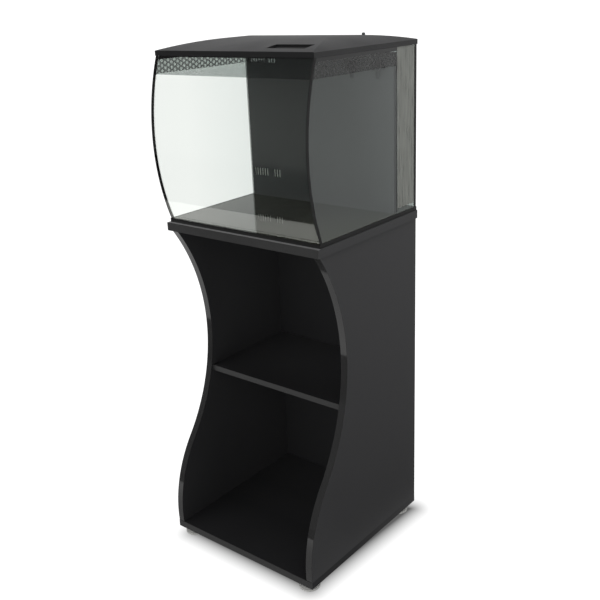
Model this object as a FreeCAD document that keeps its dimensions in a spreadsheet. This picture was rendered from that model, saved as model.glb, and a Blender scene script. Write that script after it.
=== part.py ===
"""Bow-front aquarium on its S-sided stand, as a parametric document in millimetres.

X runs from the left side panel to the right one, the open front faces -Y and +Z is up. The origin
lies on the floor, midway between the sides and midway between the back edge and the belly's front.
"""
import FreeCAD, Part
import math
import os
import re

import Sketcher

SIZES = {
    # Stand, overall
    "stand_width": 408.0,        # over the outer faces of the side panels
    "stand_depth": 415.0,        # back edge to the foremost point of the belly
    "stand_height": 763.0,       # floor to the upper face of the top board
    # Boards
    "side_thick": 16.0,
    "bottom_thick": 16.0,
    "top_thick": 18.0,
    "shelf_thick": 13.0,
    "back_thick": 12.0,
    "back_inset": 8.0,           # back panel behind the sides' rear edges
    "band_thick": 1.0,           # edge banding
    "top_depth": 358.0,
    "top_overhang": 4.0,         # top board past each side panel
    "shelf_height": 396.0,       # floor to the shelf's upper face
    "shelf_setback": 5.0,        # shelf's front behind the S-shaped edge
    # S-shaped front edge: a hollow waist arc over a belly arc
    "waist_depth": 269.0,
    "waist_drop": 251.0,         # top board's underside to the waist
    "waist_radius": 428.0,
    "belly_height": 55.0,
    # Fasteners of the stand
    "drill_play": 0.1,           # hole over its fastener, radius and depth
    "dowel_radius": 4.0,
    "dowel_bite": 10.0,          # dowel in the top or bottom board
    "dowel_reach": 20.0,         # dowel in the side panel
    "rear_dowel_depth": 45.0,    # back edge to the rear dowels
    "base_dowel_inset": 40.0,    # bottom board's front to its front dowels
    "top_dowel_inset": 53.0,     # top board's front to its front dowels
    "bolt_radius": 3.0,
    "bolt_bite": 11.0,
    "cam_distance": 24.0,        # joint to the cam's centre
    "cam_radius": 7.5,
    "cam_slot_play": 0.4,
    "cam_floor": 0.8,
    "rear_cam_depth": 90.0,
    "top_cam_inset": 108.0,
    "shelf_cam_inset": 50.0,
    "low_cam_height": 128.0,
    "high_cam_height": 648.0,
    "screw_radius": 3.5,
    "screw_length": 50.0,
    "screw_head_radius": 5.0,
    "screw_head_height": 3.0,
    "rear_screw_depth": 100.0,
    "base_screw_inset": 95.0,
    # Levelling feet
    "foot_height": 18.0,
    "foot_radius": 23.5,
    "foot_rim": 6.0,             # height of the pad's straight rim
    "foot_hub_radius": 10.0,
    "foot_side_inset": 28.0,     # foot centre from the side's outer face
    "foot_front_inset": 26.0,
    "foot_rear_inset": 33.0,
    "stud_radius": 4.0,
    "stud_reach": 13.0,          # stud above the bottom board's underside
    "stud_root": 8.0,            # stud inside the pad
    "thread_play": 0.05,
    "insert_radius": 6.5,
    "insert_length": 14.0,
    # Tank
    "tank_height": 350.0,        # top board to the glass's upper edge
    "tank_margin": 4.0,          # top board's sides to the glass
    "tank_setback": 9.1,         # top board's front to the tank's base trim
    "glass_thick": 5.0,
    "bow": 31.5,                 # front pane's bulge over its chord
    "seal_gap": 0.5,             # silicone joint behind the front pane
    "trim_wall": 1.6,
    "trim_play": 0.1,
    "trim_floor": 3.0,
    "trim_ledge": 12.0,
    "seam_width": 7.0,
    "seam_thick": 1.0,
    "film_thick": 0.3,
    "film_gap": 0.05,
    "film_margin": 0.5,
    "film_band": 36.0,           # printed band under the glass's upper edge
    # Rear partition and its slits
    "chamber_depth": 71.5,
    "partition_thick": 2.5,
    "partition_play": 0.3,
    "partition_height": 332.0,
    "slit_width": 4.6,
    "slit_margin": 6.3,          # left pane to the first slit
    "slit_pitch": 7.5,
    "slit_skip": 60.0,           # first slit to the second group
    "top_slit_height": 14.0,
    "top_slit_level": 306.0,     # bottom pane to the slits
    "low_slit_height": 17.5,
    "low_slit_level": 48.0,
    # Filter behind the partition
    "filter_play": 2.0,
    "foam_width": 118.0,
    "foam_height": 262.0,
    "basket_start": 140.0,       # left pane to the basket
    "basket_gap": 17.0,          # basket to the outlet manifold
    "basket_height": 250.0,
    "basket_wall": 2.0,
    "media_play": 0.5,
    "media_height": 200.0,
    "pump_inset": 63.0,          # right pane to the pump's centre
    "pump_width": 62.0,
    "pump_depth": 46.0,
    "pump_height": 72.0,
    "pump_round": 8.0,
    "cover_side": 46.0,
    "cover_thick": 6.0,
    "cover_slit": 3.0,
    "cover_pitch": 7.0,
    "riser_radius": 10.0,
    "riser_wall": 2.0,
    "manifold_width": 96.0,
    "manifold_depth": 26.0,
    "manifold_height": 26.0,
    "outlet_drop": 36.0,         # glass's upper edge to the outlets' axis
    "outlet_spacing": 64.0,
    "spigot_radius": 8.0,
    "spigot_wall": 2.0,
    "spigot_reach": 10.0,        # spigot in front of the partition
    "nozzle_radius": 11.0,
    "nozzle_length": 18.0,
    "nozzle_play": 0.05,
    "nozzle_stand_off": 0.5,
    "spout_length": 26.0,
    "spout_root_radius": 7.0,
    "spout_tip_radius": 4.0,
    "spout_bore": 2.5,
    # Hood
    "hood_side_lap": 2.2,        # hood past the glass
    "hood_front_lap": 0.9,
    "side_rim": 9.5,             # height of the hood's upright rims
    "front_rim": 10.3,
    "crown_level": 27.0,         # glass's upper edge to the top of the crown
    "crown_side_run": 88.0,      # side rim to the level top
    "crown_flat": 8.0,           # level strip between the front and rear slopes
    "hood_wall": 3.0,
    "flange_width": 16.0,
    "skirt_wall": 2.5,
    "skirt_drop": 2.5,
    "skirt_play": 1.0,
    # Feeding hatch
    "hatch_inset": 84.9,         # hood's right side to the hatch's middle
    "hatch_setback": 23.3,       # hood's front to the recess
    "recess_width": 93.0,
    "recess_depth": 31.0,
    "recess_level": 8.5,         # glass's upper edge to the recess's floor
    "recess_wall": 3.0,
    "feed_ledge": 4.0,
    "hatch_play": 0.4,
    "hatch_thick": 3.0,
    "hatch_rest": 0.1,
    "knuckle_radius": 3.0,
    "pin_radius": 1.5,
    "pin_bite": 7.0,
    "pin_play": 0.05,
    "tab_width": 24.0,
    "tab_depth": 4.0,
    "tab_height": 2.0,
    # Lamp and sensor
    "lamp_inset": 46.2,          # hood's side to the lamp's end
    "lamp_setback": 153.1,       # hood's front to the lamp's centre line
    "lamp_level": 9.0,           # glass's upper edge to the lamp's top
    "lamp_depth": 50.0,
    "lamp_height": 12.0,
    "lamp_wall": 2.0,
    "lens_thick": 2.0,
    "lens_play": 0.2,
    "lamp_screw_inset": 20.0,    # lamp's end to its screws
    "lamp_screw_y": 15.0,
    "lamp_screw_radius": 1.5,
    "lamp_screw_bite": 7.0,
    "lamp_head_radius": 3.0,
    "lamp_head_height": 2.0,
    "boss_radius": 4.0,
    "sensor_inset": 95.2,        # hood's right side to the sensor
    "sensor_back": 57.0,
    "sensor_radius": 3.5,
    "sensor_level": 26.5,        # glass's upper edge to the sensor's top
    "sensor_bevel": 1.2,
    "sensor_stem_radius": 2.0,
    "sensor_stem": 14.0,         # sensor's top to its stem's lower end
    # Tools only: how far a cutting block runs past the face that it opens
    "cut_over": 1.0,
}

DIRECTIONS = {
    "+X": FreeCAD.Vector(1, 0, 0),
    "-X": FreeCAD.Vector(-1, 0, 0),
    "+Y": FreeCAD.Vector(0, 1, 0),
    "-Y": FreeCAD.Vector(0, -1, 0),
    "+Z": FreeCAD.Vector(0, 0, 1),
    "-Z": FreeCAD.Vector(0, 0, -1),
}
SIDES = {"left": "-", "right": ""}

doc = FreeCAD.newDocument("aquarium_stand")
sheet = doc.addObject("Spreadsheet::Sheet", "Size")
for row, (alias, value) in enumerate(SIZES.items(), start=1):
    sheet.set(f"A{row}", str(value))
    sheet.setAlias(f"A{row}", alias)
scratch = doc.addObject("Spreadsheet::Sheet", "Now")
doc.recompute()

nodes = []
holes = {}

# Levels and planes that many pieces share, as formulas on the sheet's names
BACK = "stand_depth / 2"
FLOOR_TOP = "(foot_height + bottom_thick)"
SIDE_TOP = "(stand_height - top_thick)"
SIDE_MIDDLE = "(stand_width - side_thick) / 2"
SIDE_INNER = "(stand_width / 2 - side_thick)"
BACK_MIDDLE = f"({BACK} - back_inset - back_thick / 2)"
BACK_FACE = f"({BACK} - back_inset - back_thick)"
BASE_FRONT = f"(-{BACK})"
TOP_FRONT = f"({BACK} - top_depth)"
SHELF_MIDDLE = "(shelf_height - shelf_thick / 2)"
WAIST_HEIGHT = f"({SIDE_TOP} - waist_drop)"
RUN = "(stand_depth - waist_depth)"
RISE = f"({WAIST_HEIGHT} - belly_height)"
RADII = f"(({RUN}^2 + {RISE}^2) / (2 * {RUN}))"
WAIST_CENTRE = f"({BACK} - waist_depth - waist_radius)"
SHELF_EDGE = f"({WAIST_CENTRE} + sqrt(waist_radius^2 - (shelf_height - {WAIST_HEIGHT})^2))"
SHELF_FRONT = f"({SHELF_EDGE} + shelf_setback)"
PANE_FOOT = "(stand_height + trim_floor + glass_thick)"
PANE_RISE = "(tank_height - trim_floor - glass_thick)"
GLASS_TOP = "(stand_height + tank_height)"
TRIM_SKIN = "(trim_wall + trim_play)"
GLASS_BACK = f"({BACK} - {TRIM_SKIN})"
GLASS_DEPTH = f"(top_depth - tank_setback - 2 * {TRIM_SKIN})"
GLASS_CHORD = f"({GLASS_BACK} - {GLASS_DEPTH})"
GLASS_SIDE = "(stand_width / 2 + top_overhang - tank_margin)"
GLASS_INNER = f"({GLASS_SIDE} - glass_thick)"
BOW_RADIUS = f"((({PANE_RISE} / 2)^2 + bow^2) / (2 * bow))"
BOW_CENTRE = f"({GLASS_CHORD} - bow + {BOW_RADIUS})"
BOW_MIDDLE = f"({GLASS_TOP} - {PANE_RISE} / 2)"
CHAMBER_BACK = f"({GLASS_BACK} - glass_thick)"
CHAMBER_FRONT = f"({CHAMBER_BACK} - chamber_depth)"
CHAMBER_MIDDLE = f"({CHAMBER_BACK} - chamber_depth / 2)"
PARTITION_FRONT = f"({CHAMBER_FRONT} - partition_thick)"
OUTLET_LEVEL = f"({GLASS_TOP} - outlet_drop)"
PUMP_X = f"({GLASS_INNER} - pump_inset)"
BASKET_WIDTH = f"(2 * {GLASS_INNER} - basket_start - basket_gap - pump_inset - manifold_width / 2)"
HOOD_SIDE = f"({GLASS_SIDE} + hood_side_lap)"
HOOD_DEPTH = f"({GLASS_DEPTH} + {TRIM_SKIN} + hood_front_lap)"
HOOD_FRONT = f"({BACK} - {HOOD_DEPTH})"
HATCH_X = f"({HOOD_SIDE} - hatch_inset)"
RECESS_FRONT = f"({HOOD_FRONT} + hatch_setback)"
RECESS_BACK = f"({RECESS_FRONT} + recess_depth)"
RECESS_LEFT = f"({HATCH_X} - recess_width / 2)"
RECESS_FLOOR = f"({GLASS_TOP} + recess_level)"
HINGE_Y = f"({RECESS_BACK} - knuckle_radius - hatch_play)"
HINGE_Z = f"({RECESS_FLOOR} + hatch_rest + knuckle_radius)"
LAMP_SIDE = f"({HOOD_SIDE} - lamp_inset)"
LAMP_Y = f"({HOOD_FRONT} + lamp_setback)"
LAMP_TOP = f"({GLASS_TOP} + lamp_level)"


def on_sheet(text):
    """Turn the size names in a formula into references to the sheet's cells."""
    return re.sub(r"[a-z]\w+", lambda word: f"Size.{word[0]}" if word[0] in SIZES else word[0], text)


def now(text):
    """The present value of a formula, for a sketch's first drawing."""
    scratch.set("A1", f"={on_sheet(text)}")
    scratch.recompute()
    return float(scratch.get("A1"))


def bind(item, links):
    """Bind properties of an object to formulas."""
    for prop, text in links.items():
        item.setExpression(prop, on_sheet(text))
    return item


def place(item, at):
    """Bind an object's position to three formulas."""
    links = {f"Placement.Base.{axis}": text for axis, text in zip("xyz", at)}
    return bind(item, links)


def moved(at, direction, amount):
    """The point an amount further along a direction, as formulas."""
    sign, axis = direction
    point = list(at)
    number = "XYZ".index(axis)
    point[number] = f"{point[number]} {sign} ({amount})"
    return tuple(point)


def block(name, at, sides):
    """A box from its low corner."""
    item = doc.addObject("Part::Box", name)
    bind(item, dict(zip(("Length", "Width", "Height"), sides)))
    return place(item, at)


def rod(name, at, direction, radius, length):
    """A cylinder from a point along one direction of the frame."""
    item = doc.addObject("Part::Cylinder", name)
    item.Placement.Rotation = FreeCAD.Rotation(DIRECTIONS["+Z"], DIRECTIONS[direction])
    bind(item, {"Radius": radius, "Height": length})
    return place(item, at)


def cone(name, at, direction, root, tip, length):
    """A tapered rod from a point along one direction of the frame."""
    item = doc.addObject("Part::Cone", name)
    item.Placement.Rotation = FreeCAD.Rotation(DIRECTIONS["+Z"], DIRECTIONS[direction])
    bind(item, {"Radius1": root, "Radius2": tip, "Height": length})
    return place(item, at)


def fuse(name, parts):
    """One solid, or one cutting tool, from several."""
    if len(parts) == 1:
        return parts[0]
    item = doc.addObject("Part::MultiFuse", name)
    item.Shapes = parts
    return item


def cut(name, base, tools):
    """A solid with holes and recesses taken out."""
    item = doc.addObject("Part::Cut", name)
    item.Base = base
    item.Tool = fuse(f"{name}_tool", tools)
    return item


def common(name, first, second):
    """What two solids share."""
    item = doc.addObject("Part::Common", name)
    item.Base = first
    item.Tool = second
    return item


def node(label, item):
    """Name a finished sub-part."""
    item.Label = label
    nodes.append(item)
    return item


def group(label, parts):
    """Identical pieces that share one node as separate solids."""
    item = doc.addObject("Part::Compound", label)
    item.Links = parts
    return node(label, item)


def drilled(label, blank):
    """A board with the holes that its fasteners asked for."""
    return node(label, cut(label, blank, holes[label]))


def new_body(name, at):
    """An empty body whose position is bound to three formulas."""
    return place(doc.addObject("PartDesign::Body", name), at)


def sketch_in(body, role):
    """An empty sketch on one of the body's own origin planes."""
    plane = next(item for item in body.Origin.OriginFeatures if item.Role == role)
    sketch = body.newObject("Sketcher::SketchObject", f"{body.Name}_sketch")
    sketch.AttachmentSupport = [(plane, "")]
    sketch.MapMode = "FlatFace"
    return sketch


def pad(body, sketch, length):
    """A sketch carried along its normal."""
    item = body.newObject("PartDesign::Pad", f"{body.Name}_pad")
    item.Profile = sketch
    return bind(item, {"Length": length})


def line(sketch, start, end):
    """A straight line in a sketch, as its number there."""
    return sketch.addGeometry(Part.LineSegment(start, end), False)


def arc(sketch, centre, radius, start, end):
    """An arc that runs anticlockwise from a start angle to an end angle."""
    circle = Part.Circle(FreeCAD.Vector(*centre, 0), DIRECTIONS["+Z"], radius)
    return sketch.addGeometry(Part.ArcOfCircle(circle, start, end), False)


def join(sketch, *ends):
    """Make pairs of line ends meet."""
    for pair in ends:
        sketch.addConstraint(Sketcher.Constraint("Coincident", *pair))


def dimension(sketch, kind, where, text):
    """Hold a radius, or one coordinate of a point, to a formula."""
    if kind == "Radius":
        now = sketch.Geometry[where[0]].Radius
    else:
        point = sketch.getPoint(*where)
        now = point.x if kind == "DistanceX" else point.y
    number = sketch.addConstraint(Sketcher.Constraint(kind, *where, now))
    sketch.setExpression(f"Constraints[{number}]", on_sheet(text))


def polygon(sketch, corners):
    """A closed outline whose every corner is held to two formulas."""
    count = len(corners)
    turns = [2 * math.pi * number / count for number in range(count + 1)]
    points = [FreeCAD.Vector(math.cos(turn), math.sin(turn), 0) for turn in turns]
    lines = [line(sketch, points[number], points[number + 1]) for number in range(count)]
    for number in range(count):
        join(sketch, (lines[number - 1], 2, lines[number], 1))
    for edge, (across, up) in zip(lines, corners):
        dimension(sketch, "DistanceX", (edge, 1), across)
        dimension(sketch, "DistanceY", (edge, 1), up)


def rounded_block(name, at, sides, radius):
    """A box, centred on its point in X and Y, with its upright edges rounded."""
    length, width, height = sides
    body = new_body(name, at)
    sketch = sketch_in(body, "XY_Plane")
    half_x = f"({length}) / 2"
    half_y = f"({width}) / 2"
    polygon(sketch, [(f"-{half_x}", f"-{half_y}"), (half_x, f"-{half_y}"),
                     (half_x, half_y), (f"-{half_x}", half_y)])
    solid = pad(body, sketch, height)
    doc.recompute()
    upright = []
    for number, edge in enumerate(solid.Shape.Edges, start=1):
        if abs(edge.tangentAt(edge.FirstParameter).z) > 0.99:
            upright.append(f"Edge{number}")
    rounding = body.newObject("PartDesign::Fillet", f"{name}_fillet")
    rounding.Base = (solid, upright)
    bind(rounding, {"Radius": radius})
    return body


def s_edge(sketch, inset):
    """The S-shaped edge, moved back by an inset: a waist arc tangent to a belly arc below it."""
    waist = f"(waist_radius + {inset})"
    belly = f"({RADII} - waist_radius - {inset})"
    lean = math.asin(now(f"{RISE} / {RADII}"))
    above = math.asin(now(f"waist_drop / {waist}"))
    below = math.pi - math.asin(now(f"({FLOOR_TOP} - belly_height) / {belly}"))
    belly_centre = f"{RADII} - waist_radius - {BACK}"
    upper = arc(sketch, (now(WAIST_CENTRE), now(WAIST_HEIGHT)), now(waist), -lean, above)
    lower = arc(sketch, (now(belly_centre), now("belly_height")), now(belly), math.pi - lean, below)
    sketch.addConstraint(Sketcher.Constraint("Tangent", upper, 1, lower, 1))
    dimension(sketch, "DistanceX", (upper, 3), WAIST_CENTRE)
    dimension(sketch, "DistanceY", (upper, 3), WAIST_HEIGHT)
    dimension(sketch, "Radius", (upper,), waist)
    dimension(sketch, "Radius", (lower,), belly)
    dimension(sketch, "DistanceY", (lower, 1), f"{WAIST_HEIGHT} - {RISE} * {waist} / {RADII}")
    return upper, lower


def side_panel_blank(name, at):
    """A board with a straight back and the S-shaped front edge, behind its band."""
    body = new_body(name, at)
    sketch = sketch_in(body, "YZ_Plane")
    upper, lower = s_edge(sketch, "band_thick")
    high = sketch.getPoint(upper, 2)
    low = sketch.getPoint(lower, 2)
    rear_high = FreeCAD.Vector(now(BACK), high.y, 0)
    rear_low = FreeCAD.Vector(now(BACK), low.y, 0)
    top = line(sketch, high, rear_high)
    rear = line(sketch, rear_high, rear_low)
    bottom = line(sketch, rear_low, low)
    join(sketch, (upper, 2, top, 1), (top, 2, rear, 1), (rear, 2, bottom, 1), (bottom, 2, lower, 2))
    sketch.addConstraint(Sketcher.Constraint("Horizontal", top))
    sketch.addConstraint(Sketcher.Constraint("Vertical", rear))
    sketch.addConstraint(Sketcher.Constraint("Horizontal", bottom))
    dimension(sketch, "DistanceX", (rear, 1), BACK)
    dimension(sketch, "DistanceY", (rear, 1), SIDE_TOP)
    dimension(sketch, "DistanceY", (rear, 2), FLOOR_TOP)
    pad(body, sketch, "side_thick")
    return body


def side_edge_band(name, at):
    """The band on the S-shaped edge, as wide as its panel is thick."""
    body = new_body(name, at)
    sketch = sketch_in(body, "YZ_Plane")
    outer_upper, outer_lower = s_edge(sketch, "0")
    inner_upper, inner_lower = s_edge(sketch, "band_thick")
    for outer, inner, level in ((outer_upper, inner_upper, SIDE_TOP), (outer_lower, inner_lower, FLOOR_TOP)):
        end = line(sketch, sketch.getPoint(outer, 2), sketch.getPoint(inner, 2))
        join(sketch, (outer, 2, end, 1), (end, 2, inner, 2))
        sketch.addConstraint(Sketcher.Constraint("Horizontal", end))
        dimension(sketch, "DistanceY", (end, 1), level)
    pad(body, sketch, "side_thick")
    return body


def bow_arc(sketch, inset, foot, head):
    """An arc about the front pane's axis, inset from its outer face, between two levels."""
    radius = f"({BOW_RADIUS} - ({inset}))"
    above = math.asin(now(f"({head} - {BOW_MIDDLE}) / {radius}"))
    below = math.asin(now(f"({BOW_MIDDLE} - ({foot})) / {radius}"))
    curve = arc(sketch, (now(BOW_CENTRE), now(BOW_MIDDLE)), now(radius), math.pi - above, math.pi + below)
    dimension(sketch, "DistanceX", (curve, 3), BOW_CENTRE)
    dimension(sketch, "DistanceY", (curve, 3), BOW_MIDDLE)
    dimension(sketch, "Radius", (curve,), radius)
    dimension(sketch, "DistanceY", (curve, 1), head)
    dimension(sketch, "DistanceY", (curve, 2), foot)
    return curve


def bow_strip(name, insets, foot, head, start, width):
    """A curved sheet between two arcs about the front pane's axis, carried across in X."""
    body = new_body(name, (start, "0", "0"))
    sketch = sketch_in(body, "YZ_Plane")
    outer, inner = [bow_arc(sketch, inset, foot, head) for inset in insets]
    for end in (1, 2):
        edge = line(sketch, sketch.getPoint(outer, end), sketch.getPoint(inner, end))
        join(sketch, (outer, end, edge, 1), (edge, 2, inner, end))
    pad(body, sketch, width)
    return body


def bow_sheet(name, inset, rear, levels, start, thick):
    """A flat sheet with a straight rear edge and a bowed front edge, such as a side pane."""
    foot, head = levels
    body = new_body(name, (start, "0", "0"))
    sketch = sketch_in(body, "YZ_Plane")
    front = bow_arc(sketch, inset, foot, head)
    high = sketch.getPoint(front, 1)
    low = sketch.getPoint(front, 2)
    rear_high = FreeCAD.Vector(now(rear), high.y, 0)
    rear_low = FreeCAD.Vector(now(rear), low.y, 0)
    top = line(sketch, high, rear_high)
    upright = line(sketch, rear_high, rear_low)
    bottom = line(sketch, rear_low, low)
    join(sketch, (front, 1, top, 1), (top, 2, upright, 1), (upright, 2, bottom, 1), (bottom, 2, front, 2))
    sketch.addConstraint(Sketcher.Constraint("Horizontal", top))
    sketch.addConstraint(Sketcher.Constraint("Vertical", upright))
    sketch.addConstraint(Sketcher.Constraint("Horizontal", bottom))
    dimension(sketch, "DistanceX", (upright, 1), rear)
    pad(body, sketch, thick)
    return body


def crown_profile(sketch, span, rim, run, inset, foot):
    """The hood's section: upright rims and a level top, joined by arcs tangent to the top."""
    low, high = span
    rise = f"(crown_level - {rim})"
    outer = f"(({run}^2 + {rise}^2) / (2 * {rise}))"
    radius = f"({outer} - {inset})"
    level = f"crown_level - {outer}"
    right_centre = f"{high} - {run}"
    left_centre = f"{low} + {run}"
    lean = math.acos(now(f"({run} - {inset}) / {radius}"))
    right = arc(sketch, (now(right_centre), now(level)), now(radius), lean, math.pi / 2)
    left = arc(sketch, (now(left_centre), now(level)), now(radius), math.pi / 2, math.pi - lean)
    right_rim = sketch.getPoint(right, 1)
    left_rim = sketch.getPoint(left, 2)
    right_foot = FreeCAD.Vector(right_rim.x, now(foot), 0)
    left_foot = FreeCAD.Vector(left_rim.x, now(foot), 0)
    bottom = line(sketch, left_foot, right_foot)
    right_side = line(sketch, right_foot, right_rim)
    left_side = line(sketch, left_rim, left_foot)
    top = line(sketch, sketch.getPoint(right, 2), sketch.getPoint(left, 1))
    join(sketch, (bottom, 2, right_side, 1), (right_side, 2, right, 1), (right, 2, top, 1))
    join(sketch, (top, 2, left, 1), (left, 2, left_side, 1), (left_side, 2, bottom, 1))
    sketch.addConstraint(Sketcher.Constraint("Horizontal", bottom))
    sketch.addConstraint(Sketcher.Constraint("Vertical", right_side))
    sketch.addConstraint(Sketcher.Constraint("Vertical", left_side))
    for curve, centre, end in ((right, right_centre, 2), (left, left_centre, 1)):
        dimension(sketch, "DistanceX", (curve, 3), centre)
        dimension(sketch, "DistanceY", (curve, 3), level)
        dimension(sketch, "Radius", (curve,), radius)
        dimension(sketch, "DistanceX", (curve, end), centre)
    dimension(sketch, "DistanceX", (bottom, 1), f"{low} + {inset}")
    dimension(sketch, "DistanceX", (bottom, 2), f"{high} - {inset}")
    dimension(sketch, "DistanceY", (bottom, 1), foot)


def hood_form(name, inset, foot):
    """A low cushion roof: the part that the section across and the section along share."""
    across = new_body(f"{name}_across", ("0", BACK, GLASS_TOP))
    sketch = sketch_in(across, "XZ_Plane")
    crown_profile(sketch, (f"-{HOOD_SIDE}", HOOD_SIDE), "side_rim", "crown_side_run", inset, foot)
    pad(across, sketch, HOOD_DEPTH)
    along = new_body(f"{name}_along", (f"-{HOOD_SIDE}", BACK, GLASS_TOP))
    sketch = sketch_in(along, "YZ_Plane")
    end_run = f"(({HOOD_DEPTH} - crown_flat) / 2)"
    crown_profile(sketch, (f"-{HOOD_DEPTH}", "0"), "front_rim", end_run, inset, foot)
    pad(along, sketch, f"2 * {HOOD_SIDE}")
    return common(name, across, along)


def hole(board, at, direction, radius, length):
    """Ask for a round hole in a board, a little larger than what goes in it."""
    drill = rod(f"{board}_hole", at, direction, f"{radius} + drill_play", f"{length} + drill_play")
    holes.setdefault(board, []).append(drill)


def opposite(direction):
    """The direction that points the other way."""
    return ("-" if direction[0] == "+" else "+") + direction[1]


def dowel(at, direction, shallow_board, deep_board):
    """A wooden dowel across a joint, short in one board and long in the other."""
    start = moved(at, opposite(direction), "dowel_bite")
    hole(shallow_board, at, opposite(direction), "dowel_radius", "dowel_bite")
    hole(deep_board, at, direction, "dowel_radius", "dowel_reach")
    return rod("dowel", start, direction, "dowel_radius", "dowel_bite + dowel_reach")


def cam_joint(at, direction, face, face_gap, host, board):
    """A bolt screwed into the host board, held in the other by a cam set into one of its faces."""
    cam_depth = f"{face_gap} + bolt_radius + cam_slot_play + cam_floor"
    bolt = rod("bolt", moved(at, opposite(direction), "bolt_bite"), direction, "bolt_radius",
               "bolt_bite + cam_distance")
    mouth = moved(moved(at, direction, "cam_distance"), face, face_gap)
    disc = rod("cam_disc", mouth, opposite(face), "cam_radius", cam_depth)
    slot = rod("cam_slot", at, direction, "bolt_radius + cam_slot_play",
               "cam_distance + bolt_radius + cam_slot_play")
    hole(host, at, opposite(direction), "bolt_radius", "bolt_bite")
    hole(board, at, direction, "bolt_radius", "cam_distance")
    hole(board, mouth, opposite(face), "cam_radius", cam_depth)
    return bolt, cut("cam", disc, [slot])


def base_screw(at, board):
    """A flat-headed screw up through the bottom board into a side panel's lower end."""
    head = rod("screw_head", at, "+Z", "screw_head_radius", "screw_head_height")
    shank = rod("screw_shank", at, "+Z", "screw_radius", "screw_length")
    hole("bottom_board", at, "+Z", "screw_head_radius", "screw_head_height")
    hole("bottom_board", at, "+Z", "screw_radius", "screw_length")
    hole(board, at, "+Z", "screw_radius", "screw_length")
    return fuse("screw", [head, shank])


def stand_fasteners():
    """Dowels, cams and screws of the stand, each with its holes."""
    dowels, bolts, cams, screws = [], [], [], []
    for side, sign in SIDES.items():
        panel = f"{side}_side_panel"
        middle = f"{sign}({SIDE_MIDDLE})"
        inner = f"{sign}{SIDE_INNER}"
        inward = "+X" if side == "left" else "-X"
        for y in (f"{BACK} - rear_dowel_depth", f"{BASE_FRONT} + base_dowel_inset"):
            dowels.append(dowel((middle, y, FLOOR_TOP), "+Z", "bottom_board", panel))
        for y in (f"{BACK} - rear_dowel_depth", f"{TOP_FRONT} + top_dowel_inset"):
            dowels.append(dowel((middle, y, SIDE_TOP), "-Z", "top_board", panel))
        joints = []
        for y in (f"{BACK} - rear_cam_depth", f"{TOP_FRONT} + top_cam_inset"):
            at = (middle, y, SIDE_TOP)
            joints.append(cam_joint(at, "-Z", inward, "side_thick / 2", "top_board", panel))
        for y in (f"{BACK} - rear_cam_depth", f"{SHELF_FRONT} + shelf_cam_inset"):
            at = (inner, y, SHELF_MIDDLE)
            joints.append(cam_joint(at, inward, "-Z", "shelf_thick / 2", panel, "middle_shelf"))
        for height in ("low_cam_height", "high_cam_height"):
            at = (inner, BACK_MIDDLE, height)
            joints.append(cam_joint(at, inward, "+Y", "back_thick / 2", panel, "back_panel"))
        for bolt, cam in joints:
            bolts.append(bolt)
            cams.append(cam)
        for y in (f"{BACK} - rear_screw_depth", f"{BASE_FRONT} + base_screw_inset"):
            screws.append(base_screw((middle, y, "foot_height"), panel))
    group("wood_dowels", dowels)
    group("cam_bolts", bolts)
    group("cam_locks", cams)
    group("base_screws", screws)


def foot_pad_blank(name, at):
    """A turned glide: a straight rim, a sloping shoulder and a hub that meets the board."""
    body = new_body(name, at)
    sketch = sketch_in(body, "XZ_Plane")
    stud_hole = "stud_radius + drill_play"
    floor = "foot_height - stud_root - drill_play"
    bevel = "foot_rim / 3"
    polygon(sketch, [("0", "0"), (f"foot_radius - {bevel}", "0"), ("foot_radius", bevel),
                     ("foot_radius", "foot_rim"), ("foot_hub_radius", "(foot_height + foot_rim) / 2"),
                     ("foot_hub_radius", "foot_height"), (stud_hole, "foot_height"), (stud_hole, floor),
                     ("0", floor)])
    turning = body.newObject("PartDesign::Revolution", f"{name}_turning")
    turning.Profile = sketch
    turning.ReferenceAxis = (sketch, ["V_Axis"])
    turning.Angle = 360
    return body


def feet():
    """Four levelling feet and the threaded inserts that take their studs."""
    inserts = []
    ends = {"front": f"{BASE_FRONT} + foot_front_inset", "rear": f"{BACK} - foot_rear_inset"}
    for end, y in ends.items():
        for side, sign in SIDES.items():
            x = f"{sign}(stand_width / 2 - foot_side_inset)"
            board_at = (x, y, "foot_height")
            node(f"{end}_{side}_foot", foot_pad_blank(f"{end}_{side}_foot", (x, y, "0")))
            start = moved(board_at, "-Z", "stud_root")
            stud = rod(f"{end}_{side}_stud", start, "+Z", "stud_radius", "stud_root + stud_reach")
            node(f"{end}_{side}_stud", stud)
            sleeve = rod("insert_sleeve", board_at, "+Z", "insert_radius", "insert_length")
            thread = rod("insert_thread", board_at, "+Z", "stud_radius + thread_play", "insert_length")
            inserts.append(cut("insert", sleeve, [thread]))
            hole("bottom_board", board_at, "+Z", "insert_radius", "insert_length")
    group("foot_inserts", inserts)


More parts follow.
